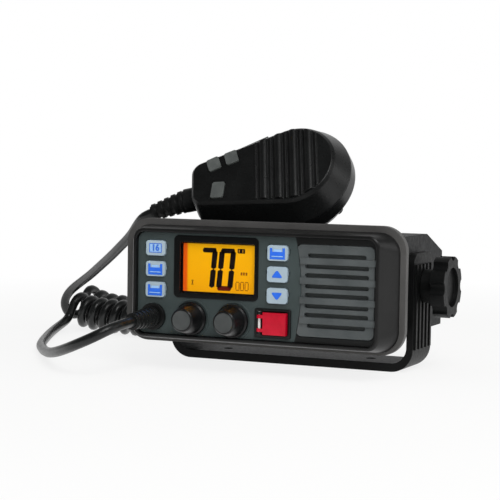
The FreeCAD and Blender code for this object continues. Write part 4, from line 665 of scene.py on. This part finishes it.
def arrow(node, body, up):  # a low triangle with its corners rounded
    x, z = keyMiddle(node)
    deselect()
    bpy.ops.mesh.primitive_circle_add(vertices=3, radius=prints["arrowRadius"] * mm, fill_type="NGON")
    piece = bpy.context.object
    bpy.ops.object.mode_set(mode="EDIT")
    bpy.ops.mesh.select_all(action="SELECT")
    bpy.ops.transform.resize(value=prints["arrowShape"])
    bpy.ops.mesh.bevel(offset=prints["arrowRounding"] * mm, segments=6, affect="VERTICES")
    thicken(prints["thick"])
    shift = -prints["arrowShift"] if up else prints["arrowShift"]
    standUp(piece, keyPrint, x, keyFace, z + shift, turned=0 if up else 180)
    piece.name = node + "_print"
    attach(piece, body)


def keyNumber():
    x, z = keyMiddle("key_number")
    thick, line = prints["thick"], prints["frameLine"]
    deselect()
    bpy.ops.object.text_add()
    text = bpy.context.object
    text.data.body = "16"
    text.data.size = prints["numberSize"] * mm
    text.data.offset = prints["numberBolder"] * mm
    text.data.align_x = "CENTER"
    text.data.align_y = "CENTER"
    text.data.extrude = thick / 2 * mm
    bpy.ops.object.convert(target="MESH")
    text = bpy.context.object
    standUp(text, keyPrint, x, keyFace - thick * mm, z)
    made = [text, smallBlock("number_field", x, z, *prints["field"], keyPrintPale, keyFace, thick / 2)]
    wide, tall = prints["frame"]
    for dx, dz, long, high in ((0, tall / 2, wide, line), (0, -tall / 2, wide, line), (-wide / 2, 0, line, tall),
                               (wide / 2, 0, line, tall)):
        made.append(smallBlock("frame_stroke", x + dx, z + dz, long, high, keyPrint, keyFace, thick))
    joined("key_number_print", made, "number_key")


keyNumber()
notchedBlock("key_left_middle", "left_middle_key")
notchedBlock("key_left_lower", "left_lower_key")
notchedBlock("key_right_upper", "right_upper_key")
arrow("key_up", "up_key", True)
arrow("key_down", "down_key", False)
print("key prints made")

# floor, backdrop and light: strengths, and the stretches over which the backdrop and the floor change
studio = {"floor": "#f2f2f0", "world": 0.5, "key": 8, "fill": 2, "rim": 1.4, "front": 0.1, "behind": 0.9,
          "overheadShare": 0.25, "leftShare": 0.45, "rightShare": 0.4, "aim": (0, 0, 0.05),
          "depth": (-0.3, 0.7), "height": (0.1, 0.9), "left": (-1.0, -0.5), "right": (0.1, 0.5),
          "floorSize": 8, "shadow": (0.25, 0.6), "shadowShare": 0.82, "floorDepth": (-0.45, -0.15)}


def background():  # white to the camera; in reflections it is white behind the part and dim on the camera's side
    world = bpy.data.worlds.new("studio")
    bpy.context.scene.world = world
    world.use_nodes = True
    tree = world.node_tree
    tree.nodes.clear()
    rays = addNode(tree, "ShaderNodeLightPath")
    seen = addNode(tree, "ShaderNodeMath", {0: rays.outputs["Is Camera Ray"], 1: rays.outputs["Is Transmission Ray"]},
                   operation="MAXIMUM")
    place = addNode(tree, "ShaderNodeTexCoord").outputs["Generated"]
    parts = addNode(tree, "ShaderNodeSeparateXYZ", {"Vector": place})
    depth = addNode(tree, "ShaderNodeMapRange", {"Value": parts.outputs[1], "From Min": studio["depth"][0],
                                                 "From Max": studio["depth"][1], "To Min": studio["front"],
                                                 "To Max": studio["behind"]})
    overhead = addNode(tree, "ShaderNodeMapRange", {"Value": parts.outputs[2], "From Min": studio["height"][0],
                                                    "From Max": studio["height"][1], "To Min": 1.0,
                                                    "To Max": studio["overheadShare"]})
    dimmed = addNode(tree, "ShaderNodeMath", {0: depth.outputs[0], 1: overhead.outputs[0]}, operation="MULTIPLY")
    toLeft = addNode(tree, "ShaderNodeMapRange", {"Value": parts.outputs[0], "From Min": studio["left"][0],
                                                  "From Max": studio["left"][1], "To Min": studio["leftShare"],
                                                  "To Max": 1.0})
    toRight = addNode(tree, "ShaderNodeMapRange", {"Value": parts.outputs[0], "From Min": studio["right"][0],
                                                   "From Max": studio["right"][1], "To Min": 1.0,
                                                   "To Max": studio["rightShare"]})
    sides = addNode(tree, "ShaderNodeMath", {0: toLeft.outputs[0], 1: toRight.outputs[0]}, operation="MULTIPLY")
    level = addNode(tree, "ShaderNodeMath", {0: toLeft.outputs[0], 1: studio["world"]}, operation="MULTIPLY")
    dimmer = addNode(tree, "ShaderNodeMath", {0: dimmed.outputs[0], 1: sides.outputs[0]}, operation="MULTIPLY")
    plain = addNode(tree, "ShaderNodeBackground", {"Color": colour("#ffffff"), "Strength": level.outputs[0]})
    mirrored = addNode(tree, "ShaderNodeBackground", {"Color": colour("#ffffff"), "Strength": dimmer.outputs[0]})
    white = addNode(tree, "ShaderNodeBackground", {"Color": colour("#ffffff"), "Strength": 1.0})
    shaded = addNode(tree, "ShaderNodeMixShader", {0: rays.outputs["Is Glossy Ray"], 1: plain.outputs[0],
                                                   2: mirrored.outputs[0]})
    mixed = addNode(tree, "ShaderNodeMixShader", {0: seen.outputs[0], 1: shaded.outputs[0], 2: white.outputs[0]})
    addNode(tree, "ShaderNodeOutputWorld", {"Surface": mixed.outputs[0]})


def floor():  # matt white: it keeps the shadow near the part, fades to white further out, and mirrors as the backdrop
    deselect()
    bpy.ops.mesh.primitive_plane_add(size=studio["floorSize"], location=(0, 0, 0))
    ground = bpy.context.object
    ground.name = "studio_floor"
    material = bpy.data.materials.new("paleFloor")
    material.use_nodes = True
    tree = material.node_tree
    tree.nodes.clear()
    rays = addNode(tree, "ShaderNodeLightPath")
    place = addNode(tree, "ShaderNodeTexCoord").outputs["Object"]
    reach = addNode(tree, "ShaderNodeVectorMath", {0: place}, operation="LENGTH")
    far = addNode(tree, "ShaderNodeMapRange", {"Value": reach.outputs["Value"], "From Min": studio["shadow"][0],
                                               "From Max": studio["shadow"][1], "To Min": studio["shadowShare"],
                                               "To Max": 1.0})
    seen = addNode(tree, "ShaderNodeMath", {0: rays.outputs["Is Camera Ray"], 1: rays.outputs["Is Transmission Ray"]},
                   operation="MAXIMUM")
    direct = addNode(tree, "ShaderNodeMath", {0: seen.outputs[0], 1: far.outputs[0]}, operation="MULTIPLY")
    share = addNode(tree, "ShaderNodeMath", {0: direct.outputs[0], 1: rays.outputs["Is Glossy Ray"]},
                    operation="MAXIMUM")
    parts = addNode(tree, "ShaderNodeSeparateXYZ", {"Vector": place})
    mirrored = addNode(tree, "ShaderNodeMapRange", {"Value": parts.outputs[1], "From Min": studio["floorDepth"][0],
                                                    "From Max": studio["floorDepth"][1], "To Min": studio["front"],
                                                    "To Max": studio["behind"]})
    strength = addNode(tree, "ShaderNodeMix", {0: rays.outputs["Is Glossy Ray"], 2: 1.0, 3: mirrored.outputs[0]})
    matt = addNode(tree, "ShaderNodeBsdfDiffuse", {"Color": colour(studio["floor"])})
    white = addNode(tree, "ShaderNodeEmission", {"Color": colour("#ffffff"), "Strength": strength.outputs[0]})
    mixed = addNode(tree, "ShaderNodeMixShader", {0: share.outputs[0], 1: matt.outputs[0], 2: white.outputs[0]})
    addNode(tree, "ShaderNodeOutputMaterial", {"Surface": mixed.outputs[0]})
    ground.data.materials.append(material)


def softbox(name, place, aim, size, power, mirrored=True):
    deselect()
    bpy.ops.object.light_add(type="AREA", location=place)
    lamp = bpy.context.object
    lamp.name = name
    lamp.data.size = size
    lamp.data.energy = power
    lamp.visible_glossy = mirrored  # the fill doesn't show in the gloss of the panel
    lamp.rotation_euler = (Vector(aim) - Vector(place)).to_track_quat("-Z", "Y").to_euler()


background()
floor()
softbox("overheadBox", (0.6, -0.65, 1.0), studio["aim"], 0.7, studio["key"])
softbox("frontFill", (0.5, -1.2, 0.5), studio["aim"], 0.8, studio["fill"], mirrored=False)
softbox("sideBox", (1.1, 0.2, 0.55), (0.05, 0, 0.05), 0.6, studio["rim"])
bpy.context.scene.view_settings.view_transform = "Standard"
print("studio lit")
